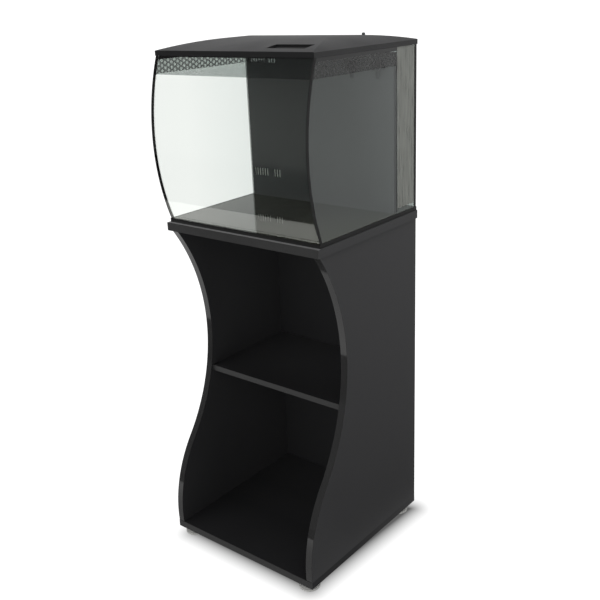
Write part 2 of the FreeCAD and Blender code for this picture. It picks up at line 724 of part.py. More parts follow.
def stand_boards():
    """Side panels, top, bottom, shelf and back, with their edge bands."""
    for side, start in (("left", "-stand_width / 2"), ("right", SIDE_INNER)):
        drilled(f"{side}_side_panel", side_panel_blank(f"{side}_side_blank", (start, "0", "0")))
        node(f"{side}_edge_band", side_edge_band(f"{side}_edge_band", (start, "0", "0")))
    top_width = "stand_width + 2 * top_overhang"
    top_left = "-stand_width / 2 - top_overhang"
    blank = block("top_blank", (top_left, f"{TOP_FRONT} + band_thick", SIDE_TOP),
                  (top_width, "top_depth - band_thick", "top_thick"))
    drilled("top_board", blank)
    band = block("top_edge_band", (top_left, TOP_FRONT, SIDE_TOP), (top_width, "band_thick", "top_thick"))
    node("top_edge_band", band)
    blank = block("bottom_blank", ("-stand_width / 2", f"{BASE_FRONT} + band_thick", "foot_height"),
                  ("stand_width", "stand_depth - band_thick", "bottom_thick"))
    drilled("bottom_board", blank)
    band = block("bottom_edge_band", ("-stand_width / 2", BASE_FRONT, "foot_height"),
                 ("stand_width", "band_thick", "bottom_thick"))
    node("bottom_edge_band", band)
    inner_width = f"2 * {SIDE_INNER}"
    shelf_foot = "shelf_height - shelf_thick"
    blank = block("shelf_blank", (f"-{SIDE_INNER}", f"{SHELF_FRONT} + band_thick", shelf_foot),
                  (inner_width, f"{BACK_FACE} - {SHELF_FRONT} - band_thick", "shelf_thick"))
    drilled("middle_shelf", blank)
    band = block("shelf_edge_band", (f"-{SIDE_INNER}", SHELF_FRONT, shelf_foot),
                 (inner_width, "band_thick", "shelf_thick"))
    node("shelf_edge_band", band)
    blank = block("back_blank", (f"-{SIDE_INNER}", BACK_FACE, FLOOR_TOP),
                  (inner_width, "back_thick", f"{SIDE_TOP} - {FLOOR_TOP}"))
    drilled("back_panel", blank)


def tank_base():
    """The moulded frame under the tank and the pane that lies in it."""
    outer_width = f"(2 * ({GLASS_SIDE} + {TRIM_SKIN}))"
    outer_depth = f"({GLASS_DEPTH} + 2 * {TRIM_SKIN})"
    pocket_width = f"(2 * ({GLASS_SIDE} + trim_play))"
    pocket_depth = f"({GLASS_DEPTH} + 2 * trim_play)"
    outer = block("trim_outer", (f"-{outer_width} / 2", f"{BACK} - {outer_depth}", "stand_height"),
                  (outer_width, outer_depth, "trim_floor + glass_thick"))
    pocket_front = f"({BACK} - trim_wall - {pocket_depth})"
    pocket = block("trim_pocket", (f"-{pocket_width} / 2", pocket_front, "stand_height + trim_floor"),
                   (pocket_width, pocket_depth, "glass_thick + cut_over"))
    opening = block("trim_opening",
                    (f"-{pocket_width} / 2 + trim_ledge", f"{pocket_front} + trim_ledge",
                     "stand_height - cut_over"),
                    (f"{pocket_width} - 2 * trim_ledge", f"{pocket_depth} - 2 * trim_ledge",
                     "trim_floor + 2 * cut_over"))
    node("tank_base_trim", cut("tank_base_trim", outer, [pocket, opening]))
    pane = block("bottom_pane", (f"-{GLASS_SIDE}", GLASS_CHORD, "stand_height + trim_floor"),
                 (f"2 * {GLASS_SIDE}", GLASS_DEPTH, "glass_thick"))
    node("bottom_pane", pane)


def tank_panes():
    """The bent front pane, the two side panes cut to its bow, and the back pane."""
    levels = (PANE_FOOT, GLASS_TOP)
    front = bow_strip("front_pane", ("0", "glass_thick"), *levels, f"-{GLASS_SIDE}", f"2 * {GLASS_SIDE}")
    node("front_pane", front)
    for side, start in (("left", f"-{GLASS_SIDE}"), ("right", GLASS_INNER)):
        pane = bow_sheet(f"{side}_pane", "glass_thick + seal_gap", GLASS_BACK, levels, start, "glass_thick")
        node(f"{side}_pane", pane)
    back = block("back_pane", (f"-{GLASS_INNER}", CHAMBER_BACK, PANE_FOOT),
                 (f"2 * {GLASS_INNER}", "glass_thick", PANE_RISE))
    node("back_pane", back)


def tank_seams_and_films():
    """Black corner strips outside the side panes, and the printed film round the rear and the top."""
    film_foot = f"{PANE_FOOT} + film_margin"
    film_head = f"{GLASS_TOP} - film_margin"
    levels = (film_foot, film_head)
    film_skin = "(film_gap + film_thick)"
    for side, seam_start, film_start in (
            ("left", f"-{GLASS_SIDE} - seam_thick", f"-{GLASS_SIDE} - {film_skin}"),
            ("right", GLASS_SIDE, f"{GLASS_SIDE} + film_gap")):
        seam = bow_strip(f"{side}_front_seam", ("0", "seam_width"), PANE_FOOT, GLASS_TOP,
                         seam_start, "seam_thick")
        node(f"{side}_front_seam", seam)
        trim = block(f"{side}_rear_trim", (seam_start, f"{GLASS_BACK} - seam_width", PANE_FOOT),
                     ("seam_thick", "seam_width", PANE_RISE))
        node(f"{side}_rear_trim", trim)
        rear = f"{GLASS_BACK} - seam_width - film_margin"
        blank = bow_sheet(f"{side}_film_blank", "seam_width + film_margin", rear, levels,
                          film_start, "film_thick")
        window = block(f"{side}_film_window", (f"{film_start} - cut_over", f"{GLASS_CHORD} - bow", PANE_FOOT),
                       ("film_thick + 2 * cut_over", f"{CHAMBER_FRONT} - {GLASS_CHORD} + bow",
                        f"{PANE_RISE} - film_band"))
        node(f"{side}_film", cut(f"{side}_film", blank, [window]))
    film_left = f"-{GLASS_SIDE} + film_margin"
    film_width = f"2 * ({GLASS_SIDE} - film_margin)"
    back = block("back_film", (film_left, f"{GLASS_BACK} + film_gap", film_foot),
                 (film_width, "film_thick", f"{PANE_RISE} - 2 * film_margin"))
    node("back_film", back)
    front = bow_strip("front_film", (f"-{film_skin}", "-film_gap"), f"{GLASS_TOP} - film_band", film_head,
                      film_left, film_width)
    node("front_film", front)


def slit_row(name, count, skip, level, height):
    """A row of upright slits that starts at the partition's left edge."""
    row = []
    for number in range(count):
        start = f"-{GLASS_INNER} + slit_margin + {skip} + {number} * slit_pitch"
        at = (start, f"{PARTITION_FRONT} - cut_over", f"{PANE_FOOT} + {level}")
        row.append(block(name, at, ("slit_width", "partition_thick + 2 * cut_over", height)))
    return row


def outlets():
    """The X of the two outlets, left one first."""
    return [f"{PUMP_X} {sign} outlet_spacing / 2" for sign in "-+"]


def rear_partition():
    """The black wall in front of the filter, with inlet slits and two outlet holes."""
    half = f"({GLASS_INNER} - partition_play)"
    blank = block("partition_blank", (f"-{half}", PARTITION_FRONT, PANE_FOOT),
                  (f"2 * {half}", "partition_thick", "partition_height"))
    openings = []
    for count, skip in ((7, "0"), (3, "slit_skip")):
        openings += slit_row("top_slit", count, skip, "top_slit_level", "top_slit_height")
    for count, skip in ((6, "0"), (3, "slit_skip")):
        openings += slit_row("low_slit", count, skip, "low_slit_level", "low_slit_height")
    for x in outlets():
        at = (x, f"{PARTITION_FRONT} - cut_over", OUTLET_LEVEL)
        openings.append(rod("outlet_hole", at, "+Y", "spigot_radius + partition_play",
                            "partition_thick + 2 * cut_over"))
    node("rear_partition", cut("rear_partition", blank, openings))


def filter_parts():
    """Foam and media on the inlet side, pump, riser and outlet manifold on the other."""
    depth = "(chamber_depth - 2 * filter_play)"
    front = f"{CHAMBER_FRONT} + filter_play"
    foam = block("foam_block", (f"-{GLASS_INNER} + filter_play", front, PANE_FOOT),
                 ("foam_width", depth, "foam_height"))
    node("foam_block", foam)
    basket_left = f"-{GLASS_INNER} + basket_start"
    outer = block("basket_outer", (basket_left, front, PANE_FOOT), (BASKET_WIDTH, depth, "basket_height"))
    inner_width = f"({BASKET_WIDTH} - 2 * basket_wall)"
    inner_depth = f"({depth} - 2 * basket_wall)"
    inner = block("basket_inner",
                  (f"{basket_left} + basket_wall", f"{front} + basket_wall", f"{PANE_FOOT} + basket_wall"),
                  (inner_width, inner_depth, "basket_height"))
    node("media_basket", cut("media_basket", outer, [inner]))
    media = block("filter_media",
                  (f"{basket_left} + basket_wall + media_play", f"{front} + basket_wall + media_play",
                   f"{PANE_FOOT} + basket_wall"),
                  (f"{inner_width} - 2 * media_play", f"{inner_depth} - 2 * media_play", "media_height"))
    node("filter_media", media)
    pump = rounded_block("pump_housing", (PUMP_X, CHAMBER_MIDDLE, PANE_FOOT),
                         ("pump_width", "pump_depth", "pump_height"), "pump_round")
    node("pump_housing", pump)
    cover_at = (f"{PUMP_X} - cover_side / 2", f"{CHAMBER_MIDDLE} - pump_depth / 2 - cover_thick",
                f"{PANE_FOOT} + (pump_height - cover_side) / 2")
    plate = block("cover_plate", cover_at, ("cover_side", "cover_thick", "cover_side"))
    grooves = []
    for number in range(1, 6):
        at = moved(moved(cover_at, "+X", f"{number} * cover_pitch"), "-Y", "cut_over")
        at = moved(at, "+Z", "cover_pitch")
        grooves.append(block("cover_groove", at, ("cover_slit", "cover_thick / 2 + cut_over",
                                                  "cover_side - 2 * cover_pitch")))
    node("pump_cover", cut("pump_cover", plate, grooves))
    riser_at = (PUMP_X, CHAMBER_MIDDLE, f"{PANE_FOOT} + pump_height")
    manifold_foot = f"({OUTLET_LEVEL} - manifold_height / 2)"
    riser_length = f"{manifold_foot} - {PANE_FOOT} - pump_height"
    tube = rod("riser_outside", riser_at, "+Z", "riser_radius", riser_length)
    bore = rod("riser_bore", riser_at, "+Z", "riser_radius - riser_wall", riser_length)
    node("riser_tube", cut("riser_tube", tube, [bore]))
    manifold_depth = f"({CHAMBER_MIDDLE} + manifold_depth / 2 - {CHAMBER_FRONT})"
    chest = block("manifold_chest", (f"{PUMP_X} - manifold_width / 2", CHAMBER_FRONT, manifold_foot),
                  ("manifold_width", manifold_depth, "manifold_height"))
    spigots = []
    bores = [rod("manifold_inlet", (PUMP_X, CHAMBER_MIDDLE, manifold_foot), "+Z",
                 "riser_radius - riser_wall", "manifold_height / 2")]
    left, right = outlets()
    bores.append(rod("manifold_gallery", (left, CHAMBER_MIDDLE, OUTLET_LEVEL), "+X",
                     "spigot_radius - spigot_wall", "outlet_spacing"))
    for x in (left, right):
        tip = (x, f"{PARTITION_FRONT} - spigot_reach", OUTLET_LEVEL)
        spigots.append(rod("spigot", tip, "+Y", "spigot_radius", "spigot_reach + partition_thick + cut_over"))
        bores.append(rod("spigot_bore", tip, "+Y", "spigot_radius - spigot_wall",
                         f"{CHAMBER_MIDDLE} - {PARTITION_FRONT} + spigot_reach"))
    node("outlet_manifold", cut("outlet_manifold", fuse("manifold_body", [chest] + spigots), bores))


def nozzles():
    """Two spouts that swivel on the outlet spigots."""
    for name, x in zip(("left_nozzle", "right_nozzle"), outlets()):
        face = (x, f"{PARTITION_FRONT} - nozzle_stand_off", OUTLET_LEVEL)
        sleeve = rod(f"{name}_sleeve", face, "-Y", "nozzle_radius", "nozzle_length")
        tip = (x, f"{PARTITION_FRONT} - nozzle_stand_off - nozzle_length + spout_root_radius", OUTLET_LEVEL)
        spout = cone(f"{name}_spout", tip, "-Z", "spout_root_radius", "spout_tip_radius", "spout_length")
        socket = rod(f"{name}_socket", face, "-Y", "spigot_radius + nozzle_play", "spigot_reach")
        jet = rod(f"{name}_jet", tip, "-Z", "spout_bore", "spout_length + cut_over")
        node(name, cut(name, fuse(f"{name}_body", [sleeve, spout]), [socket, jet]))


def hood():
    """The hood's shell with its flange, skirt, hatch recess and lamp bosses, and what it carries."""
    outside = hood_form("hood_outside", "0", "0")
    inside = hood_form("hood_inside", "hood_wall", "hood_wall")
    mouth_side = f"({HOOD_SIDE} - flange_width)"
    mouth = block("hood_mouth", (f"-{mouth_side}", f"{HOOD_FRONT} + flange_width", f"{GLASS_TOP} - cut_over"),
                  (f"2 * {mouth_side}", f"{HOOD_DEPTH} - 2 * flange_width", "hood_wall + 2 * cut_over"))
    shell = cut("hood_hollow", outside, [inside, mouth])
    skirt_left = f"({GLASS_INNER} - skirt_play)"
    skirt_back = f"({CHAMBER_BACK} - skirt_play)"
    skirt_front = f"({GLASS_CHORD} + glass_thick + 2 * skirt_play)"
    skirt_foot = f"({GLASS_TOP} - skirt_drop)"
    skirt_outer = block("skirt_outer", (f"-{skirt_left}", skirt_front, skirt_foot),
                        (f"2 * {skirt_left}", f"{skirt_back} - {skirt_front}", "skirt_drop + hood_wall"))
    skirt_inner = block("skirt_inner", (f"-{skirt_left} + skirt_wall", f"{skirt_front} + skirt_wall",
                                        f"{skirt_foot} - cut_over"),
                        (f"2 * ({skirt_left} - skirt_wall)", f"{skirt_back} - {skirt_front} - 2 * skirt_wall",
                         "skirt_drop + hood_wall + 2 * cut_over"))
    skirt = cut("skirt", skirt_outer, [skirt_inner])
    tub = block("recess_tub", (f"{RECESS_LEFT} - recess_wall", f"{RECESS_FRONT} - recess_wall",
                               f"{RECESS_FLOOR} - recess_wall"),
                ("recess_width + 2 * recess_wall", "recess_depth + 2 * recess_wall", "crown_level"))
    recess = block("recess", (RECESS_LEFT, RECESS_FRONT, RECESS_FLOOR),
                   ("recess_width", "recess_depth", "crown_level"))
    feed = block("feed_hole", (f"{RECESS_LEFT} + feed_ledge", f"{RECESS_FRONT} + feed_ledge",
                               f"{RECESS_FLOOR} - recess_wall - cut_over"),
                 ("recess_width - 2 * feed_ledge", "recess_depth - 2 * feed_ledge - knuckle_radius",
                  "recess_wall + 2 * cut_over"))
    bosses, pilots, screws, clearances = [], [], [], []
    for x in SIDES.values():
        for y in "-+":
            at = (f"{x}({LAMP_SIDE} - lamp_screw_inset)", f"{LAMP_Y} {y} lamp_screw_y", LAMP_TOP)
            bosses.append(rod("boss", at, "+Z", "boss_radius", "crown_level"))
            pilots.append(rod("boss_pilot", at, "+Z", "lamp_screw_radius + drill_play",
                              "lamp_screw_bite + drill_play"))
            root = moved(at, "-Z", "lamp_wall + lamp_head_height")
            head = rod("lamp_screw_head", root, "+Z", "lamp_head_radius", "lamp_head_height")
            shank = rod("lamp_screw_shank", root, "+Z", "lamp_screw_radius",
                        "lamp_head_height + lamp_wall + lamp_screw_bite")
            screws.append(fuse("lamp_screw", [head, shank]))
            clearances.append(rod("lamp_hole", moved(at, "-Z", "lamp_wall + cut_over"), "+Z",
                                  "lamp_screw_radius + drill_play", "lamp_wall + 2 * cut_over"))
    inner_fittings = common("hood_fittings", fuse("hood_inner_blanks", [tub] + bosses), outside)
    pins, pin_holes = [], []
    for direction, edge in (("-X", RECESS_LEFT), ("+X", f"{RECESS_LEFT} + recess_width")):
        start = moved((edge, HINGE_Y, HINGE_Z), opposite(direction), "pin_bite")
        pins.append(rod("hatch_pin", start, direction, "pin_radius", "pin_bite + recess_wall"))
        pin_holes.append(rod("pin_hole", start, direction, "pin_radius", "pin_bite + recess_wall + cut_over"))
    top = (f"{HOOD_SIDE} - sensor_inset", f"{BACK} - sensor_back", f"{GLASS_TOP} + sensor_level")
    stem_hole = rod("sensor_hole", top, "-Z", "sensor_stem_radius + drill_play", "sensor_stem")
    body = fuse("hood_body", [shell, skirt, inner_fittings])
    node("hood_shell", cut("hood_shell", body, [recess, feed, stem_hole] + pilots + pin_holes))
    group("hatch_pins", pins)
    group("lamp_screws", screws)
    lamp(clearances)
    hatch()
    tip = cone("sensor_tip", top, "-Z", "sensor_radius - sensor_bevel", "sensor_radius", "sensor_bevel")
    barrel = rod("sensor_barrel", moved(top, "-Z", "sensor_bevel"), "-Z", "sensor_radius",
                 "sensor_stem - sensor_bevel")
    cap = cut("sensor_cap", fuse("sensor_blank", [tip, barrel]), [outside])
    stem = rod("sensor_stem_rod", top, "-Z", "sensor_stem_radius", "sensor_stem")
    node("sensor_pod", fuse("sensor_pod", [cap, stem]))


def lamp(clearances):
    """A shallow lamp box under the hood, open below, and the lens that closes it."""
    foot = f"{LAMP_TOP} - lamp_height"
    outer = block("lamp_outer", (f"-{LAMP_SIDE}", f"{LAMP_Y} - lamp_depth / 2", foot),
                  (f"2 * {LAMP_SIDE}", "lamp_depth", "lamp_height"))
    hollow = block("lamp_hollow", (f"-{LAMP_SIDE} + lamp_wall", f"{LAMP_Y} - lamp_depth / 2 + lamp_wall",
                                   f"{foot} - cut_over"),
                   (f"2 * ({LAMP_SIDE} - lamp_wall)", "lamp_depth - 2 * lamp_wall",
                    "lamp_height - lamp_wall + cut_over"))
    node("lamp_housing", cut("lamp_housing", outer, [hollow] + clearances))
    margin = "(lamp_wall + lens_play)"
    lens = block("lamp_lens", (f"-{LAMP_SIDE} + {margin}", f"{LAMP_Y} - lamp_depth / 2 + {margin}", foot),
                 (f"2 * ({LAMP_SIDE} - {margin})", f"lamp_depth - 2 * {margin}", "lens_thick"))
    node("lamp_lens", lens)


def hatch():
    """The feeding hatch: a plate with a hinge knuckle at its rear and a finger tab at its front."""
    width = "(recess_width - 2 * hatch_play)"
    left = f"{RECESS_LEFT} + hatch_play"
    front = f"{RECESS_FRONT} + hatch_play"
    level = f"{RECESS_FLOOR} + hatch_rest"
    plate = block("hatch_plate", (left, front, level), (width, f"{HINGE_Y} - ({front})", "hatch_thick"))
    knuckle = rod("hatch_knuckle", (left, HINGE_Y, HINGE_Z), "+X", "knuckle_radius", width)
    tab = block("hatch_tab", (f"{HATCH_X} - tab_width / 2", front, f"{level} + hatch_thick"),
                ("tab_width", "tab_depth", "tab_height"))
    bore_length = "pin_bite - hatch_play + pin_play"
    bores = []
    for start, direction in ((left, "+X"), (f"{left} + {width}", "-X")):
        at = (start, HINGE_Y, HINGE_Z)
        bores.append(rod("hatch_bore", at, direction, "pin_radius + pin_play", bore_length))
    node("feeding_hatch", cut("feeding_hatch", fuse("hatch_body", [plate, knuckle, tab]), bores))


def save():
    """Stop at any failed object or bad shape, then write one STEP file for each sub-part."""
    doc.recompute()
    failed = [item.Label for item in doc.Objects if {"Invalid", "Error"} & set(item.State)]
    failed += [item.Label for item in nodes if item.Shape.isNull() or not item.Shape.isValid()]
    if failed:
        raise RuntimeError(f"failed objects: {failed}")
    os.makedirs("parts", exist_ok=True)
    for item in nodes:
        item.Shape.exportStep(os.path.join("parts", f"{item.Label}.step"))
        print(f"{item.Label}: {len(item.Shape.Solids)} solids, {item.Shape.Volume / 1000:.1f} cm3")


stand_fasteners()
feet()
stand_boards()
tank_base()
tank_panes()
tank_seams_and_films()
rear_partition()
filter_parts()
nozzles()
hood()
save()
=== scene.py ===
# %% [markdown]
# # A pedestal stand with its bow-front tank
# The real object is a black pedestal with S-curved sides and an open shelf, which carries a small glass
# tank with a hood. Its solids come packed from CAD and stay where they are. This lesson lights them, gives
# every piece the finish of the real material, and works out in numpy the few pieces whose curves need a
# smooth skin or whose stuff is soft or loose.

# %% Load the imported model
from math import radians

import bpy
import numpy as np
from mathutils import Matrix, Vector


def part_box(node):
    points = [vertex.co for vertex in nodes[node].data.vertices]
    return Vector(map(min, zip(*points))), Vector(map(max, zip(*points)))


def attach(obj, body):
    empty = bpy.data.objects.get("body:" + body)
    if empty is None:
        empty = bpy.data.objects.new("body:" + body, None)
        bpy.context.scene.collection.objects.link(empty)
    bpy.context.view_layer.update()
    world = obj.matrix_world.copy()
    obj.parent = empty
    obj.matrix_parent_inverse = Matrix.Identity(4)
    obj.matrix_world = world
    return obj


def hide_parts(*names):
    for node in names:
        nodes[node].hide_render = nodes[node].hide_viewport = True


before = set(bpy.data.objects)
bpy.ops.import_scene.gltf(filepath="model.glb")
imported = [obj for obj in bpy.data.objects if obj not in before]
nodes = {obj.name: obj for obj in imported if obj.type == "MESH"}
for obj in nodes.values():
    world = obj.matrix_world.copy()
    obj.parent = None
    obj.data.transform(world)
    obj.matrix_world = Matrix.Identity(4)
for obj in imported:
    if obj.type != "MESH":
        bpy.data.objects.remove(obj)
scene = bpy.context.scene
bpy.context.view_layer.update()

# %% [markdown]
# The photograph looks down on the stand from its front right corner. A camera could be aimed by eye, but
# the edges would then drift. Here the edges of the picture gave the lens, the place in metres and the three
# turns of the camera: first about the vertical, then down, then a small roll. The Standard view keeps the
# white of the paper and the blacks of the boards as they are worked out.

# %% Camera
sensor_width, lens = 36.0, 50.91
camera_place = (1.1573, -1.3628, 1.2243)
turn, tilt, roll = radians(39.5), radians(90 - 19.966), radians(-2.528)
camera = bpy.data.objects.new("camera", bpy.data.cameras.new("camera"))
scene.collection.objects.link(camera)
camera.data.sensor_width, camera.data.lens = sensor_width, lens
camera.matrix_world = (Matrix.Translation(camera_place) @ Matrix.Rotation(turn, 4, "Z")
                       @ Matrix.Rotation(tilt, 4, "X") @ Matrix.Rotation(roll, 4, "Z"))
scene.camera = camera
scene.view_settings.view_transform = "Standard"
print("camera", [round(x, 3) for x in camera.matrix_world.translation])


# %% [markdown]
# Every finish below is a small tree of shader nodes. By hand the nodes are dragged and wired on the screen.
# In a script, one function that adds a node with its settings and links does for all of them. An input goes
# by its label or its place: a Map Range reads input 0 from 1 to 2 and gives 3 to 4, and a Mix goes from 2
# to 3 with numbers and from 6 to 7 with colours. One more function turns an sRGB hex colour to linear light,
# one starts an empty tree, and one puts a finish on pieces.

# %% Helpers for finishes
mm_per_m = 1000.0


def add_node(tree, kind, links=None, **settings):
    """One shader node. settings are its own properties, and links maps an input to a value or to the
    output of another node."""
    new = tree.nodes.new("ShaderNode" + kind)
    for key, value in settings.items():
        setattr(new, key, value)
    for key, value in (links or {}).items():
        if isinstance(value, bpy.types.NodeSocket):
            tree.links.new(value, new.inputs[key])
        else:
            new.inputs[key].default_value = value
    return new


def linear(code, gain=1.0):
    """sRGB hex to linear RGBA, times gain. A channel c becomes c / 12.92 up to 0.04045, and above that
    (c + 0.055) / 1.055 to the power of 2.4."""
    c = np.array([int(code[i:i + 2], 16) for i in (1, 3, 5)]) / 255
    return (*np.where(c <= 0.04045, c / 12.92, ((c + 0.055) / 1.055) ** 2.4) * gain, 1.0)


def start(name):
    """An empty material tree, its output node and the object's own coordinates in millimetres."""
    material = bpy.data.materials.new(name)
    material.use_nodes = True
    tree = material.node_tree
    tree.nodes.clear()
    out = add_node(tree, "OutputMaterial")
    where = add_node(tree, "TexCoord").outputs["Object"]
    mm = add_node(tree, "VectorMath", {0: where, "Scale": mm_per_m}, operation="SCALE").outputs[0]
    return tree, out, mm


def wear(name, *pieces):
    """The named material on each CAD node or new piece."""
    for piece in pieces:
        mesh = (nodes[piece] if isinstance(piece, str) else piece).data
        mesh.materials.clear()
        mesh.materials.append(bpy.data.materials[name])
    print(name, "on", len(pieces), "pieces")


# %% [markdown]
# New pieces are grids of points. They could be modelled with Blender's own tools, but a formula over whole
# numpy arrays can be read, and it gives the same points each time. One function joins a grid to quads, and
# one makes the mesh and measures the volume inside it, which is negative if the faces point inwards.

# %% Helpers for meshes
crease = radians(50)
cm3_per_m3 = 1e6


def make_piece(name, points, faces):
    """A mesh object from points and faces, smooth but for edges that turn by more than the crease. The
    volume inside is the sum over all triangles of a . (b x c) / 6."""
    mesh = bpy.data.meshes.new(name)
    mesh.from_pydata(points.reshape(-1, 3).tolist(), [], faces)
    mesh.shade_smooth()
    mesh.set_sharp_from_angle(angle=crease)
    mesh.calc_loop_triangles()
    corners = np.empty(len(mesh.loop_triangles) * 3, np.int32)
    mesh.loop_triangles.foreach_get("vertices", corners)
    a, b, c = points.reshape(-1, 3)[corners.reshape(-1, 3)].transpose(1, 0, 2)
    volume = (a * np.cross(b, c)).sum() / 6 * cm3_per_m3
    piece = bpy.data.objects.new(name, mesh)
    scene.collection.objects.link(piece)
    print(f"{name}: {len(faces)} faces, {volume:.2f} cm3 inside")
    return piece


def grid_quads(n, m, close=False):
    """The quads of a grid of n by m points, in order; a closed grid joins its last column to its first."""
    i, j = np.meshgrid(np.arange(n - 1), np.arange(m if close else m - 1), indexing="ij")
    k = (j + 1) % m
    return np.stack([i * m + j, i * m + k, (i + 1) * m + k, (i + 1) * m + j], -1).reshape(-1, 4)


# %% [markdown]
# The studio is a white sweep under one wide soft lamp, with an open white room behind the stand and a dim
# one in front. A plain grey sky could stand for it, but a glossy face shows the room and a matt face only
# the light that falls on it, so mirror rays, the camera and the others each get a sky of their own. The
# direction of a ray says how far it points to the front, which is -Y, and how high.

# %% Sky
white, paper_white = (1.0, 1.0, 1.0, 1.0), 1.2
world = bpy.data.worlds.new("studio")
scene.world = world
world.use_nodes = True
tree = world.node_tree
tree.nodes.clear()
axis = add_node(tree, "SeparateXYZ", {0: add_node(tree, "TexCoord").outputs["Generated"]})
path = add_node(tree, "LightPath")
# A mirror shows white behind the stand, a tenth of it in front, and less than half of it overhead.
dim_front = add_node(tree, "MapRange", {0: axis.outputs["Y"], 1: -0.15, 2: -0.6, 3: 1.0, 4: 0.1},
                     interpolation_type="SMOOTHSTEP")
dim_high = add_node(tree, "MapRange", {0: axis.outputs["Z"], 1: 0.05, 2: 0.6, 3: 1.0, 4: 0.45},
                    interpolation_type="SMOOTHSTEP")
mirrored = add_node(tree, "Math", {0: dim_front.outputs[0], 1: dim_high.outputs[0]}, operation="MULTIPLY")
# Matt faces get fill from the front and more from behind, and little from the sides.
fill_front = add_node(tree, "MapRange", {0: axis.outputs["Y"], 1: -0.2, 2: -0.8, 3: 0.3, 4: 1.6},
                      interpolation_type="SMOOTHSTEP")
fill_rear = add_node(tree, "MapRange", {0: axis.outputs["Y"], 1: 0.25, 2: 0.85, 3: 0.0, 4: 2.2},
                     interpolation_type="SMOOTHSTEP")
fill = add_node(tree, "Math", {0: fill_front.outputs[0], 1: fill_rear.outputs[0]}, operation="ADD")
bounced = add_node(tree, "Mix", {0: path.outputs["Is Glossy Ray"], 2: fill.outputs[0],
                                 3: mirrored.outputs[0]})
power = add_node(tree, "Mix", {0: path.outputs["Is Camera Ray"], 2: bounced.outputs[0], 3: paper_white})
glow = add_node(tree, "Background", {"Color": white, "Strength": power.outputs[0]})
add_node(tree, "OutputWorld", {"Surface": glow.outputs[0]})
print("sky with a dim front")


# %% [markdown]
# The floor is white paper, lit so evenly that only the contact shadow shows. Paper that took the lamp's
# light would go grey away from it, so this paper glows by itself, and the shadow is a formula: it darkens
# with the square of the nearness to a rectangle under the stand, which leans a little.

# %% Floor
def flat_sheet(name, xs, ys, height):
    """A flat sheet: every pair of xs and ys at one height."""
    gx, gy = np.meshgrid(xs, ys, indexing="ij")
    points = np.stack([gx, gy, np.full_like(gx, height)], -1)
    return make_piece(name, points, grid_quads(len(xs), len(ys))[:, ::-1].tolist())


tree, out, mm = start("white paper sweep")
# In mm, apart from the lean, which is X over Y, and the core, which is what is left of the white.
shadow_middle, shadow_half, shadow_reach = (15.0, 3.0, 0.0), (175.0, 190.0, 1.0), 82.0
shadow_lean, shadow_core = 0.05, 0.12
ground = add_node(tree, "SeparateXYZ", {0: mm})
lean = add_node(tree, "Math", {0: ground.outputs["Y"], 1: -shadow_lean, 2: ground.outputs["X"]},
                operation="MULTIPLY_ADD")
spot = add_node(tree, "CombineXYZ", {0: lean.outputs[0], 1: ground.outputs["Y"]})
aside = add_node(tree, "VectorMath", {0: spot.outputs[0], 1: shadow_middle}, operation="SUBTRACT")
apart = add_node(tree, "VectorMath", {0: aside.outputs[0]}, operation="ABSOLUTE")
over = add_node(tree, "VectorMath", {0: apart.outputs[0], 1: shadow_half}, operation="SUBTRACT")
past = add_node(tree, "VectorMath", {0: over.outputs[0], 1: (0, 0, 0)}, operation="MAXIMUM")
away = add_node(tree, "VectorMath", {0: past.outputs[0]}, operation="LENGTH")
near = add_node(tree, "MapRange", {0: away.outputs["Value"], 1: 0.0, 2: shadow_reach, 3: 1.0, 4: 0.0})
deep = add_node(tree, "Math", {0: near.outputs[0], 1: 2.0}, operation="POWER")
seen = add_node(tree, "MapRange", {0: deep.outputs[0], 3: paper_white, 4: shadow_core})
print("shadow up to", shadow_reach, "mm past the foot of the stand")

# %% [markdown]
# Only the camera sees that shadow. Bounced light and mirror images could use it too, but they need no more
# than a soft dimming where the stand shades the paper, so all other rays meet paper that is dimmer in a wide
# ring round the stand.

# %% Light that the floor throws back
shaded_to, open_from, shaded_glow, open_glow = 260.0, 900.0, 0.45, 1.03
round_spot = add_node(tree, "VectorMath", {0: mm, 1: (1.0, 1.0, 0.0)}, operation="MULTIPLY")
reach = add_node(tree, "VectorMath", {0: round_spot.outputs[0]}, operation="LENGTH")
thrown = add_node(tree, "MapRange", {0: reach.outputs["Value"], 1: shaded_to, 2: open_from, 3: shaded_glow,
                                     4: open_glow}, interpolation_type="SMOOTHSTEP")
eye = add_node(tree, "LightPath").outputs["Is Camera Ray"]
lit = add_node(tree, "Mix", {0: eye, 2: thrown.outputs[0], 3: seen.outputs[0]})
paper = add_node(tree, "Emission", {"Color": white, "Strength": lit.outputs[0]})
tree.links.new(paper.outputs[0], out.inputs["Surface"])
studio_half = 40
floor_line = np.linspace(-studio_half, studio_half, 9)
floor = flat_sheet("floor", floor_line, floor_line, 0.0)
wear("white paper sweep", floor)

# %% [markdown]
# A polished face shows what lies round it, so the studio has three cards that only mirror rays meet. They
# could be walls, but the camera looks down, and so do the rays that it gets back from an upright mirror, so
# the cards lie flat. Beside the stand lies a card in shade, which clears up further out and most of all
# towards the rear.

